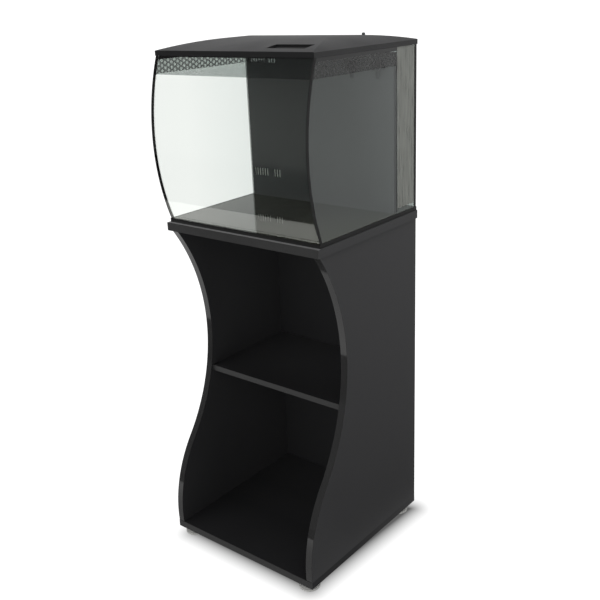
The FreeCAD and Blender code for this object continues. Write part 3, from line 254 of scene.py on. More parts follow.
# %% Card beside the stand
# Sizes of cards are in metres. The shade clears up with X in mm, and X over Y falls towards the rear.
card_height, side_edge, side_front = 0.003, 0.24, -0.8
tree, out, mm = start("shaded studio card")
across = add_node(tree, "SeparateXYZ", {0: mm})
shade = add_node(tree, "MapRange", {0: across.outputs["X"], 1: 300.0, 2: 2000.0, 3: 0.15, 4: 0.72})
bearing = add_node(tree, "Math", {0: across.outputs["X"], 1: across.outputs["Y"]}, operation="DIVIDE")
lift = add_node(tree, "MapRange", {0: bearing.outputs[0], 1: 0.76, 2: 0.66, 3: 0.0, 4: 0.25})
distance = add_node(tree, "MapRange", {0: across.outputs["X"], 1: 2000.0, 2: 5000.0, 3: 0.4, 4: 1.0})
side_glow = add_node(tree, "Math", {0: lift.outputs[0], 1: distance.outputs[0], 2: shade.outputs[0]},
                     operation="MULTIPLY_ADD")
light = add_node(tree, "Emission", {"Strength": side_glow.outputs[0]})
tree.links.new(light.outputs[0], out.inputs["Surface"])
side_x, side_y = np.linspace(side_edge, studio_half, 5), np.linspace(side_front, studio_half, 5)
side_card = flat_sheet("side_card", side_x, side_y, card_height)
wear("shaded studio card", side_card)

# %% [markdown]
# The paper ends 0.835 m in front of the middle of the stand, and the glossy edge bands show that end as a
# light stretch that stops short. Past it lies dark felt, blackest at about 2 m and a little lighter far off.

# %% Card past the end of the paper
paper_end, felt_patch = -0.835, 50.0
tree, out, mm = start("dark studio card")
along = add_node(tree, "SeparateXYZ", {0: mm})
felt = add_node(tree, "TexNoise", {"Vector": mm, "Scale": 1 / felt_patch})
near_edge = add_node(tree, "MapRange", {0: along.outputs["Y"], 1: -1200.0, 2: -1650.0, 3: 0.1, 4: 0.01},
                     interpolation_type="SMOOTHSTEP")
shade = add_node(tree, "Math", {0: felt.outputs[0], 1: near_edge.outputs[0]}, operation="MULTIPLY")
distant = add_node(tree, "MapRange", {0: along.outputs["Y"], 1: -2300.0, 2: -3100.0, 3: 0.0, 4: 0.1},
                   interpolation_type="SMOOTHSTEP")
dusk = add_node(tree, "Math", {0: shade.outputs[0], 1: distant.outputs[0]}, operation="ADD")
light = add_node(tree, "Emission", {"Strength": dusk.outputs[0]})
tree.links.new(light.outputs[0], out.inputs["Surface"])
front_x, front_y = np.linspace(-studio_half, studio_half, 5), np.linspace(-studio_half, paper_end, 5)
front_card = flat_sheet("front_card", front_x, front_y, card_height)
wear("dark studio card", front_card)

# %% [markdown]
# The lower half of the bowed pane faces down a little and mirrors the paper as a pale veil. The black ledge
# of the top board in front of the tank would cut that veil off above the tank's foot, so a white card lies
# on the ledge.

# %% Card on the ledge
ledge_gap, paper_patch = 0.0002, 50.0
ledge_y = [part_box("top_board")[0][1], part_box("tank_base_trim")[0][1]]
ledge_x = [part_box("top_board")[k][0] for k in (0, 1)]
ledge_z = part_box("top_board")[1][2] + ledge_gap
ledge_card = flat_sheet("ledge_card", np.array(ledge_x), np.array(ledge_y), ledge_z)
tree, out, mm = start("white ledge card")
paper_grain = add_node(tree, "TexNoise", {"Vector": mm, "Scale": 1 / paper_patch})
shade = add_node(tree, "MapRange", {0: paper_grain.outputs[0], 3: 0.9, 4: 1.0})
light = add_node(tree, "Emission", {"Strength": shade.outputs[0]})
tree.links.new(light.outputs[0], out.inputs["Surface"])
wear("white ledge card", ledge_card)
for card in (side_card, front_card, ledge_card):
    card.visible_camera = card.visible_diffuse = card.visible_shadow = card.visible_transmission = False

# %% [markdown]
# One wide softbox hangs over the stand and a little behind it. A small lamp would throw hard shadows into
# the open bays, and a wide one lights the boards softly. Mirror rays don't see it, so that no bright square
# shows in the glass or on the hood.

# %% Lamp
lamp_size, lamp_watts, lamp_place = 2.6, 82.0, (0.1, 0.5, 2.9)
lamp = bpy.data.objects.new("softbox", bpy.data.lights.new("softbox", "AREA"))
lamp.data.shape, lamp.data.size, lamp.data.size_y = "RECTANGLE", lamp_size, lamp_size
lamp.data.energy = lamp_watts
lamp.location = lamp_place
lamp.visible_glossy = False
scene.collection.objects.link(lamp)
print("studio: floor, three cards and a softbox")


# %% [markdown]
# ## Boards
# The stand is chipboard faced with melamine paper, pressed against a plate with a fine pearl grain. The eye
# gets a black satin face with a soft, wide shine. A photograph of the board could be laid on it, but noise
# has no seams and no repeats. The same tree serves for every moulded or pressed skin here: noise as fine as
# the grain moves the height, and wide noise moves the gloss and the tone a little. The boards seen in the
# open bays go paler towards the back. That is painted fill light, so the open bays look evenly dark.

# %% Melamine and edge bands
# One cloud of wide noise is about 90 mm across.
clouds_per_mm, bump_height, plastic_ior = 0.011, 0.0003, 1.5
# In mm along Y, painted fill light: the boards in the open bays turn paler from the first place to the second.
painted_fill_start, painted_fill_full = -60.0, 190.0


def skin(name, colour, rough, grain, depth, shine=0.5, spread=0.15, rear=None):
    """A pressed or moulded skin. grain is the bump's size in mm, depth its strength, shine the mirror's
    share, and spread how far wide noise moves the tone and the gloss. Where rear is given, the colour goes
    over to it along Y, from the first to the second fill place above, as painted fill light."""
    tree, out, mm = start(name)
    fine = add_node(tree, "TexNoise", {"Vector": mm, "Scale": 1.0 / grain, "Detail": 3.0})
    wide = add_node(tree, "TexNoise", {"Vector": mm, "Scale": clouds_per_mm, "Detail": 2.0})
    smooth, dull = rough * (1 - spread), rough * (1 + spread)
    gloss = add_node(tree, "MapRange", {0: wide.outputs[0], 1: 0.3, 2: 0.7, 3: smooth, 4: dull})
    dark, light = linear(colour, 1 - spread), linear(colour, 1 + spread)
    tone = add_node(tree, "Mix", {0: wide.outputs[0], 6: dark, 7: light}, data_type="RGBA")
    # Painted fill light: the colour turns paler towards the back of the board.
    if rear:
        place = add_node(tree, "SeparateXYZ", {0: mm})
        painted_fill = add_node(tree, "MapRange", {0: place.outputs["Y"], 1: painted_fill_start, 2: painted_fill_full})
        tone = add_node(tree, "Mix", {0: painted_fill.outputs[0], 6: tone.outputs[2], 7: linear(rear)},
                        data_type="RGBA")
    bump = add_node(tree, "Bump", {"Height": fine.outputs[0], "Strength": depth, "Distance": bump_height})
    face = add_node(tree, "BsdfPrincipled", {
        "Base Color": tone.outputs[2], "Roughness": gloss.outputs[0], "IOR": plastic_ior,
        "Normal": bump.outputs[0], "Specular IOR Level": shine})
    tree.links.new(face.outputs[0], out.inputs["Surface"])


# A pearl grain of 1.6 mm is coarser than the real 0.3 mm, so that it shows at all.
pearl = {"grain": 1.6, "depth": 0.25, "spread": 0.06}
skin("black melamine board", "#2d2d2e", rough=0.42, shine=0.16, **pearl)
wear("black melamine board", "right_side_panel", "top_board")
# The boards seen in the open bays wear painted fill light, paler towards the back.
skin("melamine board with painted fill light", "#2c2c2d", rough=0.42, shine=0.16, rear="#3a3a3b", **pearl)
wear("melamine board with painted fill light", "left_side_panel")
skin("shelf board with painted fill light", "#222223", rough=0.42, shine=0.16, rear="#3a3a3b", **pearl)
wear("shelf board with painted fill light", "middle_shelf")
skin("bottom board with painted fill light", "#1d1d1e", rough=0.5, shine=0.12, rear="#323233", **pearl)
wear("bottom board with painted fill light", "bottom_board")
# The thin back is plainer board and duller. Its tone, darker than the other boards, is painted shade.
skin("matt black board", "#29292a", rough=0.5, shine=0.12, **pearl)
wear("matt black board", "back_panel")
# A 1 mm ABS band is scraped satin on the straight edges.
skin("satin edge band", "#2d2d2d", rough=0.4, grain=1.2, depth=0.15, shine=0.25)
wear("satin edge band", "top_edge_band", "bottom_edge_band", "shelf_edge_band")

# %% [markdown]
# ## Plastics
# The tank's trim, filter and lamp are injection moulded, satin and a little grained. The hood has a coarser
# spark grain that scatters the lamp to a grey sheen. The seams are silicone, matt and dark. Each could have
# a tree of its own, but they differ only in numbers, so the boards' skin is used again.

# %% Moulded pieces
skin("black moulded plastic", "#171717", rough=0.45, grain=1.2, depth=0.3, shine=0.14)
wear("black moulded plastic", "tank_base_trim", "media_basket", "pump_housing", "pump_cover", "riser_tube",
     "outlet_manifold", "left_nozzle", "right_nozzle", "lamp_housing")
# Spark grain of 1.4 mm, drawn about four times too coarse so that it shows.
skin("textured hood plastic", "#1a1a1b", rough=0.5, grain=1.4, depth=0.5, shine=0.28, spread=0.06)
wear("textured hood plastic", "hood_shell", "feeding_hatch")
# Tooled silicone has a slow ripple and almost no shine.
skin("black silicone", "#121212", rough=0.5, grain=6.0, depth=0.2, shine=0.2)
wear("black silicone", "left_front_seam", "right_front_seam", "left_rear_trim", "right_rear_trim")
# Cast acrylic is smooth, and its flatness shows only as a slow sway in what it mirrors.
skin("black acrylic", "#404242", rough=0.25, grain=40.0, depth=0.02, shine=0.3, spread=0.03)
wear("black acrylic", "rear_partition", "sensor_pod")

# %% [markdown]
# The feet, the tank's floor, the lamp's lens and the dowels are of other stuff. Glass and wood could have
# trees of their own, but this glass lies on a dark sheet and the dowels hide in the boards, so the same skin
# does for them too.

# %% Feet, glass floor, lens and dowels
# The levelling glides are pale polypropylene with the waxy sheen of that plastic.
foot_corners = [f"{end}_{side}" for end in ("front", "rear") for side in ("left", "right")]
skin("pale polypropylene glide", "#acaca9", rough=0.4, grain=1.4, depth=0.2)
wear("pale polypropylene glide", *(f"{corner}_foot" for corner in foot_corners))
# The tank's floor is glass on a dark sheet. Both faces of the glass mirror the walls, so its shine is high.
skin("dark backed glass", "#2d2e26", rough=0.03, grain=60.0, depth=0.0, shine=0.9, spread=0.05)
wear("dark backed glass", "bottom_pane")
# The lamp's lens is milky and softly shiny, so it looks white and even.
skin("opal polycarbonate lens", "#d8dcdc", rough=0.3, grain=3.0, depth=0.1)
wear("opal polycarbonate lens", "lamp_lens")
# Turned beech is pale brown and dry, with fine pores.
skin("beech", "#b98d5a", rough=0.6, grain=2.0, depth=0.3, shine=0.3)
wear("beech", "wood_dowels")


# %% [markdown]
# ## Metals
# The fasteners are zinc plated steel, bright and lightly mottled. The cam locks are die cast, greyer and
# duller. Metal has no colour under its shine, so it needs a tree of its own: the colour is that of the
# mirror, and only the gloss and a shallow height vary.

# %% Fasteners
mottle, metal_height = 0.1, 0.0002


def plated(name, colour, rough, grain):
    """Metal: noise of the grain's size in mm moves the gloss and a shallow height."""
    tree, out, mm = start(name)
    fine = add_node(tree, "TexNoise", {"Vector": mm, "Scale": 1.0 / grain, "Detail": 2.0})
    gloss = add_node(tree, "MapRange", {0: fine.outputs[0], 3: rough - mottle, 4: rough + mottle})
    bump = add_node(tree, "Bump", {"Height": fine.outputs[0], "Strength": 0.2, "Distance": metal_height})
    face = add_node(tree, "BsdfPrincipled", {"Base Color": linear(colour), "Metallic": 1.0,
                                             "Roughness": gloss.outputs[0], "Normal": bump.outputs[0]})
    tree.links.new(face.outputs[0], out.inputs["Surface"])


plated("zinc plated steel", "#c3c4c4", rough=0.3, grain=1.0)
wear("zinc plated steel", "cam_bolts", "base_screws", "foot_inserts", "hatch_pins", "lamp_screws",
     *(f"{corner}_stud" for corner in foot_corners))
plated("die cast zinc", "#a5a6a6", rough=0.45, grain=1.5)
wear("die cast zinc", "cam_locks")


# %% [markdown]
# ## Glass and printed films
# A pane lets most light through and mirrors a little, more at a slant. A glass shader could do both, but it
# casts a dark shadow into the tank, so a clear and a mirror shader share the face. Both faces of a pane
# mirror in life. Here the outer face mirrors for both and the inner one not at all, which looks the same
# from outside and leaves the view through the tank clean. The bent pane mirrors a little more than the flat
# ones.

# %% Glass
# In mm: the middle of the tank, the lower edge of the films along the top, and the front edge of the strips
# that they have beside the filter.
tank_middle, film_foot, strip_front = (0.0, 30.0, 940.0), 1076.5, 129.3
# The first number is where the view through a clear pane starts to darken towards the partition, in mm along
# Y: painted shade.
painted_shade_from, smear_size = -70.0, 50.0


def outer_mirror(tree, mm, reflect):
    """The share that an outward face mirrors: reflect face on, and up to 1 at a slant, by (1 - cosine) to
    the fifth. A face is outward where its normal points away from the middle of the tank."""
    slant = add_node(tree, "LayerWeight", {"Blend": 0.5}).outputs["Facing"]
    steep = add_node(tree, "Math", {0: slant, 1: 5.0}, operation="POWER")
    share = add_node(tree, "MapRange", {0: steep.outputs[0], 3: reflect, 4: 1.0})
    arm = add_node(tree, "VectorMath", {0: mm, 1: tank_middle}, operation="SUBTRACT")
    normal = add_node(tree, "TexCoord").outputs["Normal"]
    lean = add_node(tree, "VectorMath", {0: arm.outputs[0], 1: normal}, operation="DOT_PRODUCT")
    outward = add_node(tree, "Math", {0: lean.outputs["Value"], 1: 0.0}, operation="GREATER_THAN")
    entering = add_node(tree, "Math", {0: 1.0, 1: add_node(tree, "NewGeometry").outputs["Backfacing"]},
                        operation="SUBTRACT")
    gate = add_node(tree, "Math", {0: outward.outputs[0], 1: entering.outputs[0]}, operation="MULTIPLY")
    return add_node(tree, "Math", {0: share.outputs[0], 1: gate.outputs[0]}, operation="MULTIPLY").outputs[0]


def clear_glass(name, tint, painted_shade_tint, reflect, sheen):
    """Clear sheet: the outer face mirrors its share where no film is stuck on it, in the colour sheen. The
    rest passes with the tint, which goes over to the darker second tint towards the partition: painted shade."""
    tree, out, mm = start(name)
    split = add_node(tree, "SeparateXYZ", {0: mm})
    under = add_node(tree, "Math", {0: split.outputs["Z"], 1: film_foot}, operation="LESS_THAN")
    before = add_node(tree, "Math", {0: split.outputs["Y"], 1: strip_front}, operation="LESS_THAN")
    bare = add_node(tree, "Math", {0: under.outputs[0], 1: before.outputs[0]}, operation="MULTIPLY")
    share = add_node(tree, "Math", {0: outer_mirror(tree, mm, reflect), 1: bare.outputs[0]},
                     operation="MULTIPLY")
    smear = add_node(tree, "TexNoise", {"Vector": mm, "Scale": 1 / smear_size, "Detail": 3.0})
    gloss = add_node(tree, "MapRange", {0: smear.outputs[0], 1: 0.35, 2: 0.75, 3: 0.02, 4: 0.06})
    deep = add_node(tree, "MapRange", {0: split.outputs["Y"], 1: painted_shade_from, 2: strip_front})
    tone = add_node(tree, "Mix", {0: deep.outputs[0], 6: linear(tint), 7: linear(painted_shade_tint)}, data_type="RGBA")
    through = add_node(tree, "BsdfTransparent", {"Color": tone.outputs[2]})
    mirror = add_node(tree, "BsdfGlossy", {"Color": linear(sheen), "Roughness": gloss.outputs[0]})
    both = add_node(tree, "MixShader", {0: share.outputs[0], 1: through.outputs[0], 2: mirror.outputs[0]})
    tree.links.new(both.outputs[0], out.inputs["Surface"])


# Float glass is almost without colour, with fire-polished faces that mirror sharply.
# Its second colour is painted shade, which the clear panes take on towards the partition.
clear_glass("clear float glass", "#f9faf9", "#f2f4f3", reflect=0.08, sheen="#f8fdfc")
clear_glass("bent float glass", "#f9faf9", "#f9faf9", reflect=0.105, sheen="#fdfff8")
wear("clear float glass", "left_pane", "right_pane", "back_pane")

# %% [markdown]
# The tank's upper edge and its rear corners are covered by thin films. Along the top the side films are
# printed with a honeycomb screen, clear hexagons in a dark web. A picture could carry the print, but a
# formula stays sharp from near and far: a hexagon's distance is the larger of v and v / 2 + 0.866 u from the
# nearest cell centre, and two staggered grids of cells cover the sheet.

# %% Honeycomb screen
# A cell is 10.4 mm across its flats with 2 mm of web along each side, and the web's edge is 0.4 mm soft.
cell_flat, web, web_soft = 10.4, 2.0, 0.2
cos_30, tan_60 = 0.866, 1.732
print("honeycomb with holes of", round(cell_flat - 2 * web, 1), "mm")


def honeycomb(tree, mm):
    """The web's share, from 0 in a cell to 1 on the web, in the plane of Y and Z."""
    split = add_node(tree, "SeparateXYZ", {0: mm})
    flat = add_node(tree, "CombineXYZ", {0: split.outputs["Y"], 1: split.outputs["Z"]}).outputs[0]
    half = np.array([cell_flat * cos_30, cell_flat / 2, 1.0])
    nearest = []
    for shift in (0.0 * half, half):
        moved = add_node(tree, "VectorMath", {0: flat, 1: shift}, operation="ADD")
        cell = add_node(tree, "VectorMath", {0: moved.outputs[0], 1: half, 2: -half}, operation="WRAP")
        size = add_node(tree, "VectorMath", {0: cell.outputs[0]}, operation="ABSOLUTE")
        part = add_node(tree, "SeparateXYZ", {0: size.outputs[0]})
        lean = add_node(tree, "Math", {0: part.outputs[0], 1: tan_60, 2: part.outputs[1]},
                        operation="MULTIPLY_ADD")
        side = add_node(tree, "Math", {0: lean.outputs[0], 1: 0.5}, operation="MULTIPLY")
        larger = add_node(tree, "Math", {0: side.outputs[0], 1: part.outputs[1]}, operation="MAXIMUM")
        nearest.append(larger.outputs[0])
    edge = add_node(tree, "Math", {0: nearest[0], 1: nearest[1]}, operation="MINIMUM")
    rim = cell_flat / 2 - web
    return add_node(tree, "MapRange", {0: edge.outputs[0], 1: rim - web_soft, 2: rim + web_soft}).outputs[0]


# %% [markdown]
# Over the honeycomb runs a dark border, and beside the filter lies a grey coat of upright lines. On the left
# the coat ends under the honeycomb, on the right it runs up to the edge, and the foot of both is clear. The
# front and back films are plain smoke grey. Each print could be a piece of its own, but layers that thin
# would flicker through each other, so masks by place choose the ink.

# %% Films
# Places in mm, the size of the coat's lines in mm, and how much of what lies behind it the ink hides.
border_foot, coat_foot, coat_front = 1105.0, 782.0, 133.0
line_wide, line_tall = 6, 60
web_cover, coat_cover, plain_cover = 0.39, 0.8, 0.03
film_grain, film_reflect = 2.0, 0.045
black_ink, coat_dark, coat_light = linear("#151616"), linear("#3e403c"), linear("#7b7d76")


def print_on(tree, mm, coat_head):
    """The ink's colour and share on a side film: black ink on the web of a honeycomb and on the border over
    it, and behind coat_front, from coat_foot up to coat_head, a grey coat with upright lines, which are
    noise ten times as tall as wide."""
    thin = add_node(tree, "VectorMath", {0: mm, 1: (1 / line_wide, 1 / line_wide, 1 / line_tall)},
                    operation="MULTIPLY")
    lines = add_node(tree, "TexNoise", {"Vector": thin.outputs[0], "Scale": 1.0, "Detail": 1.0})
    coat = add_node(tree, "Mix", {0: lines.outputs[0], 6: coat_dark, 7: coat_light}, data_type="RGBA")
    place = add_node(tree, "SeparateXYZ", {0: mm})
    rear = add_node(tree, "Math", {0: place.outputs["Y"], 1: coat_front}, operation="GREATER_THAN")
    below = add_node(tree, "Math", {0: place.outputs["Z"], 1: coat_head}, operation="LESS_THAN")
    strip = add_node(tree, "Math", {0: rear.outputs[0], 1: below.outputs[0]}, operation="MULTIPLY")
    shade = add_node(tree, "Mix", {0: strip.outputs[0], 6: black_ink, 7: coat.outputs[2]}, data_type="RGBA")
    border = add_node(tree, "Math", {0: place.outputs["Z"], 1: border_foot}, operation="GREATER_THAN")
    web_ink = add_node(tree, "Math", {0: honeycomb(tree, mm), 1: web_cover}, operation="MULTIPLY")
    dots = add_node(tree, "Math", {0: web_ink.outputs[0], 1: border.outputs[0]}, operation="MAXIMUM")
    coated = add_node(tree, "Math", {0: place.outputs["Z"], 1: coat_foot}, operation="GREATER_THAN")
    cover = add_node(tree, "Math", {0: coated.outputs[0], 1: coat_cover}, operation="MULTIPLY")
    share = add_node(tree, "Mix", {0: strip.outputs[0], 2: dots.outputs[0], 3: cover.outputs[0]})
    return shade.outputs[2], share.outputs[0]


def film(name, tint, coat_head=None):
    """Thin clear film with a tint and a faint gloss. A plain one has a trace of ink all over, and one with a
    coat_head is printed."""
    tree, out, mm = start(name)
    colour, share = print_on(tree, mm, coat_head) if coat_head else (black_ink, plain_cover)
    through = add_node(tree, "BsdfTransparent", {"Color": linear(tint)})
    ink = add_node(tree, "BsdfDiffuse", {"Color": colour, "Roughness": 0.5})
    painted = add_node(tree, "MixShader", {0: share, 1: through.outputs[0], 2: ink.outputs[0]})
    grain = add_node(tree, "TexNoise", {"Vector": mm, "Scale": 1 / film_grain, "Detail": 2.0})
    rough = add_node(tree, "MapRange", {0: grain.outputs[0], 3: 0.1, 4: 0.3})
    mirror = add_node(tree, "BsdfGlossy", {"Color": white, "Roughness": rough.outputs[0]})
    glossy = outer_mirror(tree, mm, film_reflect)
    both = add_node(tree, "MixShader", {0: glossy, 1: painted.outputs[0], 2: mirror.outputs[0]})
    tree.links.new(both.outputs[0], out.inputs["Surface"])


# Polyester film is clear and softly glossy, and its screen print lies matt on it.
film("honeycomb film with a short strip", "#f0f1f0", film_foot)
wear("honeycomb film with a short strip", "left_film")
film("honeycomb film with a tall strip", "#f0f1f0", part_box("right_film")[1][2] * mm_per_m + 1)
wear("honeycomb film with a tall strip", "right_film")
film("smoke film", "#d2d5d4")
wear("smoke film", "back_film")


# %% [markdown]
# ## Curved pieces in numpy
# The two S bands and the bowed pane with its film come from CAD as flat facets, and a mirror shows every
# facet. Subdivision would round the facets' corners as well. Each is a small closed profile carried along
# arcs, so it is worked out again as one smooth grid of points with the same size and place.

# %% Profiles and sweeps
def rounded_loop(low, high, radius, steps=4, run_on=0.05):
    """A rectangle with round corners, as points in order: each corner is a quarter circle of the radius,
    and a point just past each end of it, run_on times the radius, keeps the sides flat."""
    low, high = np.asarray(low, float), np.asarray(high, float)
    angle = np.linspace(0, np.pi / 2, steps + 1)
    arc = np.stack([np.cos(angle), np.sin(angle)], -1)
    arc = np.vstack([arc[:1] - [0, run_on], arc, arc[-1:] - [run_on, 0]]) * radius
    corners = []
    for k, signs in enumerate(((1, 1), (-1, 1), (-1, -1), (1, -1))):
        cos, sin = np.cos(k * np.pi / 2), np.sin(k * np.pi / 2)
        middle = np.where(np.array(signs) > 0, high - radius, low + radius)
        corners.append(arc @ np.array([[cos, sin], [-sin, cos]]) + middle)
    return np.vstack(corners)


def sweep_piece(name, rings, body, node=None):
    """A closed piece from rings[i, j], station i along the path and point j round the profile, with flat
    end caps."""
    count, m = rings.shape[:2]
    faces = grid_quads(count, m, close=True).tolist()
    faces += [np.arange(m)[::-1].tolist(), (np.arange(m) + (count - 1) * m).tolist()]
    piece = make_piece(name, rings, faces)
    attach(piece, body)
    if node:
        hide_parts(node)
    return piece


# %% [markdown]
# An S band is a 1 mm strip of ABS glued along the curved front edge of a side panel and polished, so it
# mirrors the paper and the dark past it. A bevelled curve could make it, but the arcs are known. The edge is
# a hollow waist and a round belly, in Y and Z. They meet without a kink at the angle whose sine is the drop
# from one centre to the other over the sum of the radii, and the profile is carried along their normals.

# %% S bands
skin("gloss edge band", "#262626", rough=0.06, grain=30.0, depth=0.02, shine=0.45)
waist_centre, waist_radius, waist_steps = np.array([-0.4895, 0.494]), 0.428, 60
belly_centre, belly_radius, belly_steps = np.array([0.0975, 0.055]), 0.305, 50
band_thick, band_round = 0.001, 0.0004
foot_z, top_z = (corner[2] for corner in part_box("left_edge_band"))
meet = np.arcsin((waist_centre[1] - belly_centre[1]) / (waist_radius + belly_radius))
waist = np.linspace(np.arcsin((top_z - waist_centre[1]) / waist_radius), -meet, waist_steps)
belly = np.linspace(meet, np.arcsin((foot_z - belly_centre[1]) / belly_radius), belly_steps)[1:]
waist_out = np.stack([-np.cos(waist), -np.sin(waist)], -1)
belly_out = np.stack([-np.cos(belly), np.sin(belly)], -1)
outward = np.vstack([waist_out, belly_out])
edge = np.vstack([waist_centre - waist_radius * waist_out, belly_centre + belly_radius * belly_out])
for side in ("left", "right"):
    low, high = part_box(f"{side}_edge_band")
    loop = rounded_loop((low[0], -band_thick), (high[0], 0.0), band_round)
    beside = np.broadcast_to(loop[None, :, :1], (len(edge), len(loop), 1))
    rings = np.concatenate([beside, edge[:, None, :] + loop[None, :, 1:] * outward[:, None, :]], -1)
    wear("gloss edge band", sweep_piece(f"{side}_s_band", rings, "stand", f"{side}_edge_band"))

# %% [markdown]
# The front pane is float glass, heated and bent over a mould about a level axis, and a thin smoke film on
# its face hides the upper edge. A flat grid could be bent by a modifier, but the arc is known here too: both
# sheets share its centre, and each has its own depth behind the pane's face.

# %% Bowed pane and its film
bow_y, bow_z, bow_radius, bow_steps = 0.3087, 0.942, 0.4799, 60
pane_thick, pane_round = 0.005, 0.0008
film_face, film_back, film_round = -0.00035, -0.00005, 0.0001


def bow(name, node, near, far, radius):
    """A bowed sheet: at height z and depth d it lies at bow_y - sqrt((bow_radius - d)^2 - (z - bow_z)^2)."""
    low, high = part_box(node)
    loop = rounded_loop((low[0], near), (high[0], far), radius)
    z = np.linspace(low[2], high[2], bow_steps)[:, None] * np.ones(len(loop))
    y = bow_y - np.sqrt((bow_radius - loop[:, 1]) ** 2 - (z - bow_z) ** 2)
    return sweep_piece(name, np.stack([np.broadcast_to(loop[:, 0], z.shape), y, z], -1), "tank", node)


wear("bent float glass", bow("bowed_front_pane", "front_pane", 0.0, pane_thick, pane_round))
wear("smoke film", bow("bowed_front_film", "front_film", film_face, film_back, film_round))

# %% [markdown]
# The black partition is glued between the side panes. The glue is a bead of silicone in each rear corner,
# wiped hollow with a finger, and the right one shows as a dark line beside the coated strip. The left bead
# is narrow, because the foam stands close to the pane. A flat chamfer would catch the light along one line,
# so the hollow is a quarter of an ellipse: 1 - cosine across and 1 - sine deep, carried straight up.

# %% Silicone beads
bead_deep, bead_right, bead_left, clear_by, short_by = 0.0105, 0.0055, 0.0018, 0.00005, 0.0005
hollow_steps, bead_steps = 9, 12
pane_face, partition_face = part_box("left_pane")[1][0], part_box("rear_partition")[1][1]
bead_foot, bead_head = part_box("rear_partition")[0][2] + short_by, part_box("rear_partition")[1][2] - short_by
hollow = np.linspace(0, np.pi / 2, hollow_steps)
z = np.linspace(bead_foot, bead_head, bead_steps)
for side, sign, wide in (("left", 1, bead_left), ("right", -1, bead_right)):
    u = np.concatenate([[0], wide * (1 - np.cos(hollow))])
    v = np.concatenate([[0], bead_deep * (1 - np.sin(hollow))])
    x, y = sign * (pane_face + clear_by + u), partition_face + clear_by + v
    loop = np.stack([x, y], -1)[::-sign]
    plan = np.broadcast_to(loop, (len(z), *loop.shape))
    level = np.broadcast_to(z[:, None, None], (len(z), len(loop), 1))
    rings = np.concatenate([plan, level], -1)
    wear("black silicone", sweep_piece(f"{side}_glue_bead", rings, "tank"))

# %% [markdown]
# ## Filter
# Behind the black partition stands a block of white filter foam. It is open at every cell, so light goes
# through it as well as back from it. A volume could show that, but slowly, so a diffuse and a translucent
# shader share the face, and a cell pattern pits it.

# %% Filter foam
# Real cells are about 1 mm wide. They are drawn 2.5 mm wide so that they show.
cell_size, pit_depth, through_share = 2.5, 0.0008, 0.8
tree, out, mm = start("open cell filter foam")
cells = add_node(tree, "TexVoronoi", {"Vector": mm, "Scale": 1 / cell_size})
pits = add_node(tree, "Bump", {"Height": cells.outputs["Distance"], "Strength": 0.9, "Distance": pit_depth})
# The tone follows the pits: each is painted darker towards its bottom, as painted shade.
tone = add_node(tree, "Mix", {0: cells.outputs["Distance"], 6: linear("#e6e6e2"), 7: linear("#fbfbf8")},
                data_type="RGBA")
back = add_node(tree, "BsdfDiffuse", {"Color": tone.outputs[2], "Roughness": 0.6, "Normal": pits.outputs[0]})
through = add_node(tree, "BsdfTranslucent", {"Color": tone.outputs[2], "Normal": pits.outputs[0]})
both = add_node(tree, "MixShader", {0: through_share, 1: back.outputs[0], 2: through.outputs[0]})
tree.links.new(both.outputs[0], out.inputs["Surface"])
print("foam cells of", cell_size, "mm")

# %% [markdown]
# The block is cut with a hot wire, so its edges are a little soft and its faces sway. A cloth simulation is
# for stuff that hangs or is stuffed, and cut foam keeps its shape, so the block is a rounded rectangle
# carried up. Near the ends it draws in by a quarter circle, and a sine up the side times a cosine round it
# makes the sway.

# %% Foam block
low, high = (np.array(corner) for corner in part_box("foam_block"))
soft, sway, edge_steps, side_steps = 0.005, 0.0005, 6, 42
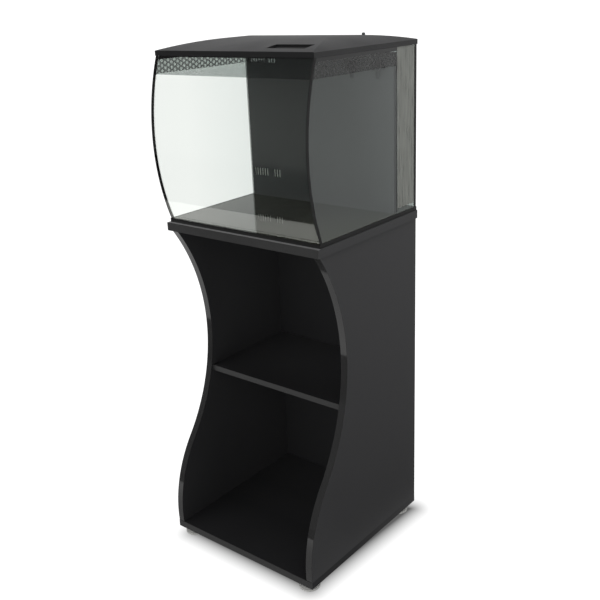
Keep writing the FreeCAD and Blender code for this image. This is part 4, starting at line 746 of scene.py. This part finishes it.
# The sway up the side is in radians per metre, and round the block in waves.
ripples_up, ripples_round = 70, 9
tall = high[2] - low[2]
loop = rounded_loop(low[:2] + sway, high[:2] - sway, soft, edge_steps)
ease = soft * (1 - np.cos(np.linspace(0, np.pi / 2, edge_steps + 1)))
rise = np.concatenate([ease, np.linspace(soft, tall - soft, side_steps)[1:-1], tall - ease[::-1]])
from_end = np.clip(np.minimum(rise, tall - rise) / soft, 0, 1)
draw_in = soft * (1 - np.sqrt(1 - (1 - from_end) ** 2))
middle, half = (low + high)[:2] / 2, (high - low)[:2] / 2
turns = np.linspace(0, 2 * np.pi, len(loop), endpoint=False)
ripple = sway * np.sin(rise * ripples_up)[:, None] * np.cos(ripples_round * turns)
plan = middle + (loop - middle) * (1 - draw_in[:, None, None] / half + ripple[..., None] / half.max())
level = np.broadcast_to((low[2] + rise)[:, None, None], (*plan.shape[:2], 1))
rings = np.concatenate([plan, level], -1)
foam = sweep_piece("soft_foam_block", rings, "tank", "foam_block")
wear("open cell filter foam", foam)

# %% [markdown]
# Beside the foam stands a basket of loose ceramic rings. A physics simulation could drop them in, but little
# of them shows. They are one short tube with eight sides, on a loose grid, each turned and shifted by seeded
# random numbers: the turn is the orthogonal part of a random matrix, with its sign set so that no ring is
# turned inside out.

# %% Ceramic rings
# Sintered ceramic is matt and pitted.
skin("sintered ceramic", "#c9bda4", rough=0.8, grain=2.0, depth=0.8, shine=0.2)
rng = np.random.default_rng(11)
low, high = (np.array(corner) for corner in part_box("filter_media"))
ring_across, ring_bore, ring_tall, ring_sides = 0.0115, 0.0055, 0.0115, 8
ring_counts, ring_shift = (9, 4, 15), 0.002
angle = np.arange(ring_sides) / ring_sides * 2 * np.pi
wall = np.array([[ring_across, -ring_tall], [ring_across, ring_tall], [ring_bore, ring_tall],
                 [ring_bore, -ring_tall]]) / 2
tube = np.stack([wall[:, None, 0] * np.cos(angle), wall[:, None, 0] * np.sin(angle),
                 wall[:, None, 1] * np.ones(ring_sides)], -1).reshape(-1, 3)
tube_quads = grid_quads(len(wall) + 1, ring_sides, close=True) % len(tube)
reach = np.hypot(ring_across, ring_tall) / 2
steps = [np.linspace(low[k] + reach, high[k] - reach, n) for k, n in enumerate(ring_counts)]
places = np.stack(np.meshgrid(*steps, indexing="ij"), -1).reshape(-1, 3)
places = np.clip(places + rng.uniform(-1, 1, places.shape) * ring_shift, low + reach, high - reach)
spin = np.linalg.qr(rng.normal(size=(len(places), 3, 3)))[0]
spin *= np.linalg.det(spin)[:, None, None]
points = np.einsum("rij,pj->rpi", spin, tube) + places[:, None, :]
quads = (tube_quads[None] + np.arange(len(places))[:, None, None] * len(tube)).reshape(-1, 4)
media = make_piece("ceramic_rings", points, quads.tolist())
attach(media, "tank")
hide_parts("filter_media")
wear("sintered ceramic", media)
